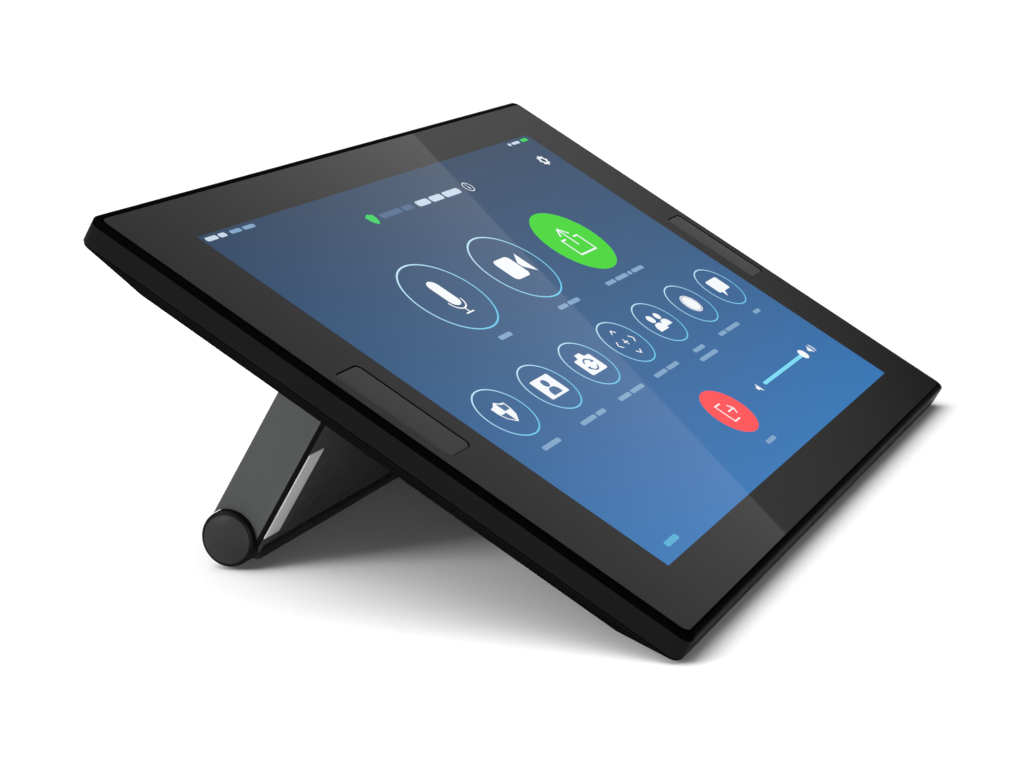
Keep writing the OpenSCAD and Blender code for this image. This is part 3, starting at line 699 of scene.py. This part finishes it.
def make_foot_strip():
    (_, y), w, h, top = flat_box("foot_strip")
    loops = [level(rounded(w - 2 * inset, h - 2 * inset, radius, 6, (0, y)), z)
             for inset, radius, z in ((0.4, 0.6, 0), (0.1, 0.8, 0.1), (0, 0.9, 0.4), (0, 0.9, top))]
    bm = bmesh.new()
    loft(bm, loops)
    piece("foot_strip_rubber", bm, MATERIALS["rubber"], ["foot_strip"], place=HERE)


def make_foot_cap(side, name, node):
    """A plug in the tube's end with a rounded rim and a gently domed face."""
    start = FOOT_HIGH.x
    low, high = span(node)
    end = max(abs(low.x), abs(high.x))
    rim = 0.95
    dome = 0.85
    face_r = FOOT_R - rim
    plug_r = FOOT_R - 2.7
    plug_length = 5.9
    steps = 12
    profile = [(start - plug_length, plug_r - 0.2), (start - plug_length + 0.3, plug_r),
               (start + 0.02, plug_r), (start + 0.02, FOOT_R - 0.25), (start + 0.2, FOOT_R)]
    profile += [(end - dome - d, FOOT_R - i) for i, d in fillet(rim, 8)]
    for i in range(1, steps):
        part = 1 - i / steps
        profile.append((end - dome * part ** 2, face_r * part))

    def on_face(p):
        return abs(p.x) > end - dome - 0.06 and math.hypot(p.y - FOOT_Y, p.z - FOOT_Z) < face_r - 0.1

    bm = bmesh.new()
    around_x(bm, profile, 96, side)
    cap = piece("foot_cap_disc_" + name, bm, MATERIALS["foot_black"], [node])
    # the domed face gets a lighter black than the rim: painted light
    repaint(cap, MATERIALS["cap_face_painted_light"], on_face)


# ---- leg and tag ----

def make_leg_shell():
    """The front shell in a lighter copy of the shell's black, painted light against the shade under the head; its
    two side edges keep the shell's own darker black.
    """
    shell = softened("leg_shell", "leg_shell_black", 0.22, "shell_black", material="leg_black_painted_light")
    side_x = span("leg_shell")[1].x - 0.4
    repaint(shell, MATERIALS["shell_black"], lambda p: abs(p.x) > side_x)


def make_tag():
    low, high = span("tag_plate")
    edge = 0.12
    w = high.x - low.x
    h = high.z - low.z
    middle = ((low.x + high.x) / 2, (low.z + high.z) / 2)
    loops = [[(x, high.y, z) for x, z in rounded(w, h, 0.35, 6, middle)],
             [(x, low.y + edge, z) for x, z in rounded(w, h, 0.35, 6, middle)],
             [(x, low.y, z) for x, z in rounded(w - 2 * edge, h - 2 * edge, 0.25, 6, middle)]]
    bm = bmesh.new()
    loft(bm, loops)
    piece("plain_tag", bm, MATERIALS["tag_metal"], ["tag_plate"])


# ---- the lit picture: plain symbols and bars, no words ----

MATERIAL_PICTURE = lit_by_attribute("picture_lit")
MATERIAL_RING = lit_by_attribute("ring_lit")
MATERIAL_WHITE = lit("symbol_lit", shade(240, 243, 246))
MATERIAL_BRIGHT = lit("bright_bar_lit", shade(196, 212, 230))
MATERIAL_LABEL = lit("label_lit", shade(122, 160, 196))
MATERIAL_DIM = lit("dim_bar_lit", shade(64, 96, 134))
MATERIAL_CYAN = lit("cyan_lit", shade(118, 216, 242))
MATERIAL_CYAN_DIM = lit("cyan_dim_lit", shade(78, 170, 210))
MATERIAL_GREEN = lit("green_lit", shade(50, 209, 10))
MATERIAL_GREEN_MARK = lit("green_mark_lit", shade(28, 206, 84))
MATERIAL_RED = lit("red_lit", shade(250, 72, 76))
MATERIAL_SYMBOL_DARK = lit("symbol_dark_lit", shade(58, 102, 148))

PICTURE_W = 217.0
PICTURE_H = 135.6
STRETCH = 1.2              # the interface is drawn wider than it is high
LAYERS = {"picture": 0.02, "ring": 0.04, "symbol": 0.06, "detail": 0.08}   # heights over the glass
THIN = 0.018               # of a plate on a layer

# the backdrop's colour at heights up the screen, as display values: grey blue above, clear blue below
PICTURE_STOPS = [(68, (2, 52, 86)), (10, (28, 79, 123)), (-38, (36, 101, 160)), (-68, (38, 113, 178))]


def picture_colour(y):
    for (high, upper), (low, lower) in zip(PICTURE_STOPS, PICTURE_STOPS[1:]):
        if y >= low or low == PICTURE_STOPS[-1][0]:
            t = (high - y) / (high - low)
            return shade(*[a + (b - a) * t for a, b in zip(upper, lower)])


def open_edges(geometry):
    return [e for e in geometry if isinstance(e, bmesh.types.BMEdge) and len(e.link_faces) == 1]


def make_picture():
    """A thin closed plate whose top is a grid, coloured at every corner."""
    columns, rows = 14, 18
    bm = bmesh.new()
    layer = bm.loops.layers.float_color.new("tint")
    places = [[((c / columns - 0.5) * PICTURE_W, (r / rows - 0.5) * PICTURE_H, LAYERS["picture"])
               for c in range(columns + 1)] for r in range(rows + 1)]
    grid = [[bm.verts.new(Vector(place) * MM) for place in row] for row in places]
    for r in range(rows):
        for c in range(columns):
            face = bm.faces.new((grid[r][c], grid[r][c + 1], grid[r + 1][c + 1], grid[r + 1][c]))
            for loop in face.loops:
                loop[layer] = picture_colour(loop.vert.co.y / MM)
    made = bmesh.ops.extrude_edge_only(bm, edges=open_edges(bm.edges))["geom"]
    for v in made:
        if isinstance(v, bmesh.types.BMVert):
            v.co.z = 0.001 * MM
    bmesh.ops.contextual_create(bm, geom=open_edges(made))
    piece("screen_picture", bm, MATERIAL_PICTURE)


def stretched(points, at):
    return [(at[0] + (x - at[0]) * STRETCH, y) for x, y in points]


class Drawing:
    """Thin closed plates drawn on the screen, in one colour and on one layer."""

    def __init__(self, name, material, layer):
        self.name = name
        self.material = material
        self.z = LAYERS[layer]
        self.bm = bmesh.new()

    def plate(self, points):
        prism(self.bm, points, self.z - THIN, self.z)

    def disc(self, at, r, count=40):
        self.plate(stretched(ellipse(at, r, r, count), at))

    def around(self, at, centre, r, count=24):
        """A disc at a place within a symbol whose centre is given."""
        self.plate(stretched(ellipse(at, r, r, count), centre))

    def ring(self, at, r, width, start=0, end=360, centre=None):
        centre = centre or at
        full = end - start >= 360
        count = max(6, int((end - start) / 6))
        steps = count if full else count + 1
        outer, inner = [], []
        for i in range(steps):
            a = math.radians(start + (end - start) * i / count)
            outer.append((at[0] + r * math.cos(a), at[1] + r * math.sin(a)))
            inner.append((at[0] + (r - width) * math.cos(a), at[1] + (r - width) * math.sin(a)))
        outer, inner = stretched(outer, centre), stretched(inner, centre)
        if full:
            loft(self.bm, [level(outer, self.z - THIN), level(outer, self.z), level(inner, self.z),
                           level(inner, self.z - THIN)], closed=True)
        else:
            self.plate(outer + list(reversed(inner)))

    def bar(self, low, high, r=0.4, centre=None):
        w, h = high[0] - low[0], high[1] - low[1]
        middle = ((low[0] + high[0]) / 2, (low[1] + high[1]) / 2)
        points = rounded(w, h, min(r, w / 2 - 0.01, h / 2 - 0.01), 4, middle)
        self.plate(stretched(points, centre) if centre else points)

    def line(self, start, end, width, centre):
        dx, dy = end[0] - start[0], end[1] - start[1]
        size = math.hypot(dx, dy)
        nx, ny = -dy / size * width / 2, dx / size * width / 2
        points = [(start[0] + nx, start[1] + ny), (start[0] - nx, start[1] - ny),
                  (end[0] - nx, end[1] - ny), (end[0] + nx, end[1] + ny)]
        self.plate(stretched(points, centre))

    def shape(self, centre, points):
        """A filled outline given around the symbol's centre."""
        self.plate(stretched([(centre[0] + x, centre[1] + y) for x, y in points], centre))

    def finish(self):
        return piece(self.name, self.bm, self.material)


BIG_R = 14.2
SMALL_R = 8.95
BIG_PLACES = {"mic": (-47.7, 23.4), "video": (-0.6, 23.4), "share": (46.5, 23.5)}
SMALL_Y = -13.6
SMALL_PLACES = [(x, SMALL_Y) for x in (-89.0, -59.4, -30.0, -0.4, 29.2, 59.0, 88.5)]
LEAVE_PLACE = (0.0, -47.2)
LEAVE_R = 8.9


def tint_ring(made, centres, radius):
    """Rings run from white at their upper left to cyan at their lower right."""
    mesh = made.data
    layer = mesh.color_attributes.new("tint", "FLOAT_COLOR", "POINT")
    back = HEAD.inverted()
    white, cyan = shade(186, 224, 243), shade(92, 194, 232)
    for i, v in enumerate(mesh.vertices):
        p = back @ v.co / MM
        cx, cy = min(centres, key=lambda c: (c[0] - p.x) ** 2 + (c[1] - p.y) ** 2)
        t = 0.5 + 0.5 * ((p.x - cx) / STRETCH * 0.5 - (p.y - cy) * 0.86) / radius
        t = min(1, max(0, t))
        layer.data[i].color = [white[k] + (cyan[k] - white[k]) * t for k in range(3)] + [1]


def make_rings():
    big = Drawing("screen_rings_large", MATERIAL_RING, "ring")
    centres = [BIG_PLACES["mic"], BIG_PLACES["video"]]
    for at in centres:
        big.ring(at, BIG_R, 0.52)
    tint_ring(big.finish(), centres, BIG_R)
    small = Drawing("screen_rings_small", MATERIAL_RING, "ring")
    for at in SMALL_PLACES:
        small.ring(at, SMALL_R, 0.42)
    tint_ring(small.finish(), SMALL_PLACES, SMALL_R)


def make_discs():
    share = Drawing("screen_button_green", MATERIAL_GREEN, "ring")
    share.disc(BIG_PLACES["share"], 14.0, 72)
    share.finish()
    leave = Drawing("screen_button_red", MATERIAL_RED, "ring")
    leave.disc(LEAVE_PLACE, LEAVE_R, 64)
    leave.finish()


def mic_symbol(d, c):
    x, y = c
    d.bar((x - 2.3, y - 3.9), (x + 2.3, y + 6.6), 2.29, c)
    d.ring((x, y - 2.0), 3.5, 0.45, 180, 360, c)
    d.bar((x - 0.25, y - 7.0), (x + 0.25, y - 5.4), 0.2, c)
    d.bar((x - 2.0, y - 7.4), (x + 2.0, y - 6.95), 0.2, c)


def video_symbol(d, c):
    x, y = c
    d.bar((x - 6.4, y - 4.4), (x + 2.5, y + 4.4), 1.7, c)
    d.shape(c, [(3.2, -0.9), (7.0, -4.2), (7.0, 4.2), (3.2, 0.9)])


def box_arrow_symbol(d, c, s=1.0):
    """An open box with an arrow rising out of it."""
    x, y = c
    w = 0.62 * s
    for side in (-1, 1):
        d.line((x + side * 5.2 * s, y + 1.4 * s), (x + side * 5.2 * s, y - 5.6 * s), w, c)
        d.line((x + side * 5.5 * s, y + 1.4 * s), (x + side * 2.6 * s, y + 1.4 * s), w, c)
        d.line((x, y + 6.0 * s), (x + side * 2.9 * s, y + 3.0 * s), w, c)
    d.line((x - 5.5 * s, y - 5.6 * s), (x + 5.5 * s, y - 5.6 * s), w, c)
    d.line((x, y - 2.0 * s), (x, y + 5.8 * s), w, c)


def shield_outline(s):
    right = [(0, 4.2), (1.8, 3.1), (3.6, 2.8), (3.5, 0.4), (2.6, -2.0), (0, -4.2)]
    left = [(-x, y) for x, y in reversed(right[1:-1])]
    return [(x * s, y * s) for x, y in right + left][::-1]


def exit_symbol(d, c):
    """A bracket with an arrow leaving it to the right."""
    x, y = c
    d.line((x - 3.1, y - 3.5), (x - 3.1, y + 3.5), 0.5, c)
    for side in (-1, 1):
        d.line((x - 3.35, y + side * 3.3), (x + 0.4, y + side * 3.3), 0.45, c)
        d.line((x + 3.5, y), (x + 2.1, y + side * 1.7), 0.5, c)
    d.line((x - 0.6, y), (x + 3.4, y), 0.45, c)


def shield_symbol(d, dark, c):
    """A shield in four fields, two of them dark."""
    d.shape(c, shield_outline(0.92))
    dark.shape(c, [(0.2, 0.3), (2.7, 0.3), (2.8, 2.1), (1.5, 2.3), (0.2, 3.2)])
    dark.shape(c, [(-0.2, -0.2), (-2.7, -0.2), (-2.0, -1.8), (-0.2, -3.3)])


def person(d, at, c, s=1.0):
    x, y = at
    d.around((x, y + 1.5 * s), c, 1.25 * s)
    shoulders = [(-2.1, -2.4), (2.1, -2.4), (2.1, -1.2), (1.5, -0.3), (0.7, 0),
                 (-0.7, 0), (-1.5, -0.3), (-2.1, -1.2)]
    d.shape(c, [(x - c[0] + px * s, y - c[1] + py * s) for px, py in shoulders])


def card_symbol(d, dark, c):
    x, y = c
    d.bar((x - 4.9, y - 3.7), (x + 4.9, y + 3.7), 0.5, c)
    person(dark, (x, y - 0.3), c, 1.1)


def camera_symbol(d, dark, c):
    x, y = c
    d.bar((x - 4.7, y - 3.7), (x + 4.7, y + 2.6), 0.7, c)
    d.shape(c, [(-2.2, 2.2), (2.2, 2.2), (1.4, 4.1), (-1.4, 4.1)])
    dark.ring((x, y - 0.5), 2.4, 0.5, 25, 155, c)
    dark.ring((x, y - 0.5), 2.4, 0.5, 205, 335, c)
    dark.shape(c, [(1.2, -0.1), (3.0, -0.1), (2.1, 1.1)][::-1])
    dark.shape(c, [(-1.2, -0.9), (-3.0, -0.9), (-2.1, -2.1)][::-1])


def four_way_symbol(d, c):
    x, y = c
    for turn in range(4):
        a = math.pi / 2 * turn
        ca, sa = math.cos(a), math.sin(a)
        tip = (x + 5.2 * ca, y + 5.2 * sa)
        for side in (-1, 1):
            end = (x + 3.9 * ca - side * 1.3 * sa, y + 3.9 * sa + side * 1.3 * ca)
            d.line(tip, end, 0.42, c)
    d.line((x - 1.2, y), (x + 1.2, y), 0.38, c)
    d.line((x, y - 1.2), (x, y + 1.2), 0.38, c)


def bubble_symbol(d, c):
    x, y = c
    d.bar((x - 4.3, y - 1.9), (x + 4.3, y + 3.8), 0.7, c)
    d.shape(c, [(-2.6, -1.7), (-2.6, -4.0), (-0.2, -1.7)])


def make_symbols():
    d = Drawing("screen_symbols", MATERIAL_WHITE, "symbol")
    dark = Drawing("screen_symbol_details", MATERIAL_SYMBOL_DARK, "detail")
    mic_symbol(d, BIG_PLACES["mic"])
    video_symbol(d, BIG_PLACES["video"])
    box_arrow_symbol(d, BIG_PLACES["share"])
    exit_symbol(d, LEAVE_PLACE)
    shield_symbol(d, dark, SMALL_PLACES[0])
    card_symbol(d, dark, SMALL_PLACES[1])
    camera_symbol(d, dark, SMALL_PLACES[2])
    four_way_symbol(d, SMALL_PLACES[3])
    x, y = SMALL_PLACES[4]
    person(d, (x - 2.2, y + 0.1), SMALL_PLACES[4], 1.3)
    person(d, (x + 2.4, y + 0.4), SMALL_PLACES[4], 1.1)
    d.disc(SMALL_PLACES[5], 3.8)
    dark.ring(SMALL_PLACES[5], 3.45, 0.22)
    bubble_symbol(d, SMALL_PLACES[6])
    for centre in ((30.0, -47.0), (86.0, -47.0)):
        d.shape(centre, [(-1.4, -0.6), (-0.5, -0.6), (0.6, -1.7), (0.6, 1.7), (-0.5, 0.6), (-1.4, 0.6)])
    for r in (1.4, 2.2):
        d.ring((86.7, -47.0), r, 0.28, -50, 50, (86.0, -47.0))
    gear = (96.0, 55.7)
    d.ring(gear, 1.9, 0.8)
    for i in range(8):
        a = math.tau * i / 8
        d.line((gear[0] + 1.7 * math.cos(a), gear[1] + 1.7 * math.sin(a)),
               (gear[0] + 2.4 * math.cos(a), gear[1] + 2.4 * math.sin(a)), 0.85, gear)
    info = (33.7, 55.4)
    d.ring(info, 2.1, 0.28)
    d.bar((info[0] - 0.2, info[1] - 1.1), (info[0] + 0.2, info[1] + 0.4), 0.1, info)
    d.around((info[0], info[1] + 1.0), info, 0.26)
    d.disc((78.5, -47.0), 2.0)
    d.finish()
    dark.finish()


def words(d, centre, y, widths, height, gap=1.1):
    """A line of plain rounded bars in place of words."""
    total = sum(widths) + gap * (len(widths) - 1)
    x = centre - total / 2
    for w in widths:
        d.bar((x, y - height / 2), (x + w, y + height / 2), height * 0.42)
        x += w + gap


def make_bars():
    soft = Drawing("screen_label_bars", MATERIAL_LABEL, "symbol")
    words(soft, BIG_PLACES["mic"][0], 5.2, [8.0], 1.5)
    words(soft, BIG_PLACES["video"][0], 5.2, [6.4, 8.2], 1.5)
    words(soft, BIG_PLACES["share"][0], 5.2, [7.5, 9.5, 2.6, 9.5], 1.5)
    labels = ([11.0], [10.0, 6.0], [8.4, 9.6], [9.6, 9.0], [9.2], [6.2, 12.0], [6.0])
    for (x, _), widths in zip(SMALL_PLACES, labels):
        words(soft, x, -27.0, widths, 1.4)
    words(soft, SMALL_PLACES[4][0], -30.4, [15.0], 1.4)
    words(soft, LEAVE_PLACE[0], -60.7, [7.6], 1.4)
    words(soft, -88.5, 66.0, [5.5, 6.0], 1.3)
    soft.finish()
    dim = Drawing("screen_header_bars_dim", MATERIAL_DIM, "symbol")
    words(dim, -17.0, 55.4, [13.5, 6.5], 2.0)
    dim.finish()
    bright = Drawing("screen_header_bars", MATERIAL_BRIGHT, "symbol")
    words(bright, 11.8, 55.4, [8.4, 8.4, 11.4], 2.4)
    words(bright, -102.0, 66.0, [5.6, 3.6], 1.5, 0.8)
    words(bright, 93.5, 66.0, [2.2, 6.0], 1.2)
    bright.finish()
    volume = Drawing("screen_volume_bar", MATERIAL_CYAN, "ring")
    volume.bar((35.5, -47.6), (78.5, -46.4), 0.5)
    volume.finish()
    theme = Drawing("screen_theme_bar", MATERIAL_CYAN_DIM, "symbol")
    words(theme, -95.5, -63.8, [8.6], 1.7)
    theme.finish()
    green = Drawing("screen_green_marks", MATERIAL_GREEN_MARK, "detail")
    green.shape((-32.3, 55.4), shield_outline(0.56))
    green.bar((100.0, 65.4), (105.0, 66.8), 0.4)
    green.finish()


# ---- stage ----

def glow(name, attribute):
    """A light whose brightness runs smoothly from vertex to vertex."""
    material = bpy.data.materials.new(name)
    material.use_nodes = True
    tree = material.node_tree
    tree.nodes.clear()
    emission = tree.nodes.new("ShaderNodeEmission")
    tint = tree.nodes.new("ShaderNodeVertexColor")
    tint.layer_name = attribute
    tree.links.new(tint.outputs["Color"], emission.inputs["Color"])
    output = tree.nodes.new("ShaderNodeOutputMaterial")
    tree.links.new(emission.outputs["Emission"], output.inputs["Surface"])
    return material


def seen_in_glass(x, y, distance):
    """Where the card at X = distance is seen mirrored at a point of the glass."""
    start = HEAD @ (Vector((x, y, 0)) * MM)
    incoming = (start - HEAD @ CAMERA_IN_HEAD).normalized()
    ray = incoming - 2 * incoming.dot(OUT_OF_GLASS) * OUT_OF_GLASS
    return start + ray * ((distance - start.x) / ray.x)


def make_card(name, corners, glows, distance):
    """A soft light card whose four corners are given as the places on the glass where they show."""
    steps = 10
    bm = bmesh.new()
    layer = bm.loops.layers.float_color.new("glow")
    grid = []
    for i in range(steps + 1):
        row = []
        for j in range(steps + 1):
            s, t = i / steps, j / steps
            weights = ((1 - s) * (1 - t), s * (1 - t), s * t, (1 - s) * t)
            x = sum(w * c[0] for w, c in zip(weights, corners))
            y = sum(w * c[1] for w, c in zip(weights, corners))
            light = sum(w * g for w, g in zip(weights, glows))
            row.append((bm.verts.new(seen_in_glass(x, y, distance)), light))
        grid.append(row)
    for i in range(steps):
        for j in range(steps):
            cells = (grid[i][j], grid[i + 1][j], grid[i + 1][j + 1], grid[i][j + 1])
            face = bm.faces.new([c[0] for c in cells])
            for loop, cell in zip(face.loops, cells):
                loop[layer] = (cell[1], cell[1], cell[1], 1)
    mesh = bpy.data.meshes.new(name)
    bm.to_mesh(mesh)
    bm.free()
    made = bpy.data.objects.new(name, mesh)
    bpy.context.scene.collection.objects.link(made)
    mesh.materials.append(glow(name + "_glow", "glow"))
    made.visible_camera = False
    made.visible_shadow = False


CARD_DISTANCE = 1.3
CARD_X = 150               # the cards' outer edges, as seen in the glass
CARD_Y = 105
EDGE_TOP = (60, CARD_Y)    # where the bright card's edge crosses the glass, above and below
EDGE_LOW = (-65, -CARD_Y)


def make_cards():
    """Two soft cards, lit by vertex colour, that stand still in the room and show in the glass."""
    make_card("card_left", [(-CARD_X, -CARD_Y), EDGE_LOW, EDGE_TOP, (-CARD_X, CARD_Y)],
              [0.26, 0.40, 0.57, 0.18], CARD_DISTANCE)
    make_card("card_right", [EDGE_LOW, (CARD_X, -CARD_Y), (CARD_X, CARD_Y), EDGE_TOP],
              [0.19, 0.0, 0.32, 0.37], CARD_DISTANCE + 0.01)


def make_floor():
    bm = bmesh.new()
    bmesh.ops.create_grid(bm, x_segments=1, y_segments=1, size=9)
    mesh = bpy.data.meshes.new("floor")
    bm.to_mesh(mesh)
    bm.free()
    floor = bpy.data.objects.new("floor", mesh)
    bpy.context.scene.collection.objects.link(floor)
    floor.location.z = -0.02 * MM
    mesh.materials.append(moulded("floor_paper", (0.86, 0.86, 0.86), 0.9, 400.0, 0.001 * MM, 0.01, 0.0))


def make_light(kind, name, power, at, towards=(0, 0, 0.05), **values):
    """A sun, whose power is its strength, or an area light in watts, aimed at a place."""
    data = bpy.data.lights.new(name, kind)
    data.energy = power
    for key, value in values.items():
        setattr(data, key, value)
    light = bpy.data.objects.new(name, data)
    bpy.context.scene.collection.objects.link(light)
    light.location = at
    light.rotation_euler = (Vector(towards) - Vector(at)).to_track_quat("-Z", "Y").to_euler()


def make_world():
    """A studio sky, brightest at the horizon."""
    world = bpy.data.worlds.new("studio")
    world.use_nodes = True
    tree = world.node_tree
    background = tree.nodes["Background"]
    coords = tree.nodes.new("ShaderNodeTexCoord")
    split = tree.nodes.new("ShaderNodeSeparateXYZ")
    ramp = tree.nodes.new("ShaderNodeValToRGB")
    tree.links.new(coords.outputs["Generated"], split.inputs["Vector"])
    tree.links.new(split.outputs["Z"], ramp.inputs["Fac"])
    elements = ramp.color_ramp.elements
    elements.new(0.12)
    elements.new(0.45)
    for element, (place, value) in zip(elements, ((0.0, 0.9), (0.1, 0.45), (0.4, 0.22), (1.0, 0.1))):
        element.position = place
        element.color = (value, value, value, 1)
    tree.links.new(ramp.outputs["Color"], background.inputs["Color"])
    background.inputs["Strength"].default_value = 1.0
    bpy.context.scene.world = world


def make_stage():
    make_floor()
    make_world()
    make_cards()
    make_light("SUN", "sky_light", 3.4, (-0.4, 0.5, 2.0), angle=math.radians(70))
    make_light("AREA", "left_light", 14.0, (-1.1, 0.9, 0.6), shape="RECTANGLE", size=0.7, size_y=0.5)
    make_light("AREA", "low_light", 4.0, (-0.8, -0.36, 0.07), (0, 0.03, 0.03), shape="RECTANGLE",
               size=0.4, size_y=0.12)
    scene = bpy.context.scene
    scene.view_settings.view_transform = "Standard"
    scene.view_settings.look = "None"
    scene.view_settings.exposure = 0
    scene.view_settings.gamma = 1


# ---- putting it together ----

def paint_cad_nodes():
    for entry in frame["record"]["subparts"]:
        node = NODES[entry["node"]]
        material = MATERIALS[entry["material_slot"]]
        if not node.material_slots:
            node.data.materials.append(material)
        for slot in node.material_slots:
            slot.material = material


make_camera()
paint_cad_nodes()
make_front_frame()
make_cover_glass()
make_sensor_window("left", "sensor_window_left")
make_sensor_window("right", "sensor_window_right")
make_back_cover()
make_pads()
softened("housing_screws", "housing_screw_heads", 0.12, "screw_black")
make_leg_shell()
softened("side_panel_left", "side_panel_grey_left", 0.22, "grey_texture")
softened("side_panel_right", "side_panel_grey_right", 0.22, "grey_texture")
softened("cable_cover", "cable_cover_grey", 0.25, "grey_texture", REAR_COVER)
softened("cable_grommet", "cable_grommet_rubber", 0.3, "rubber")
make_foot_tube()
make_foot_strip()
make_foot_cap(-1, "left", "foot_cap_left")
make_foot_cap(1, "right", "foot_cap_right")
make_tag()
make_picture()
make_rings()
make_discs()
make_symbols()
make_bars()
make_stage()
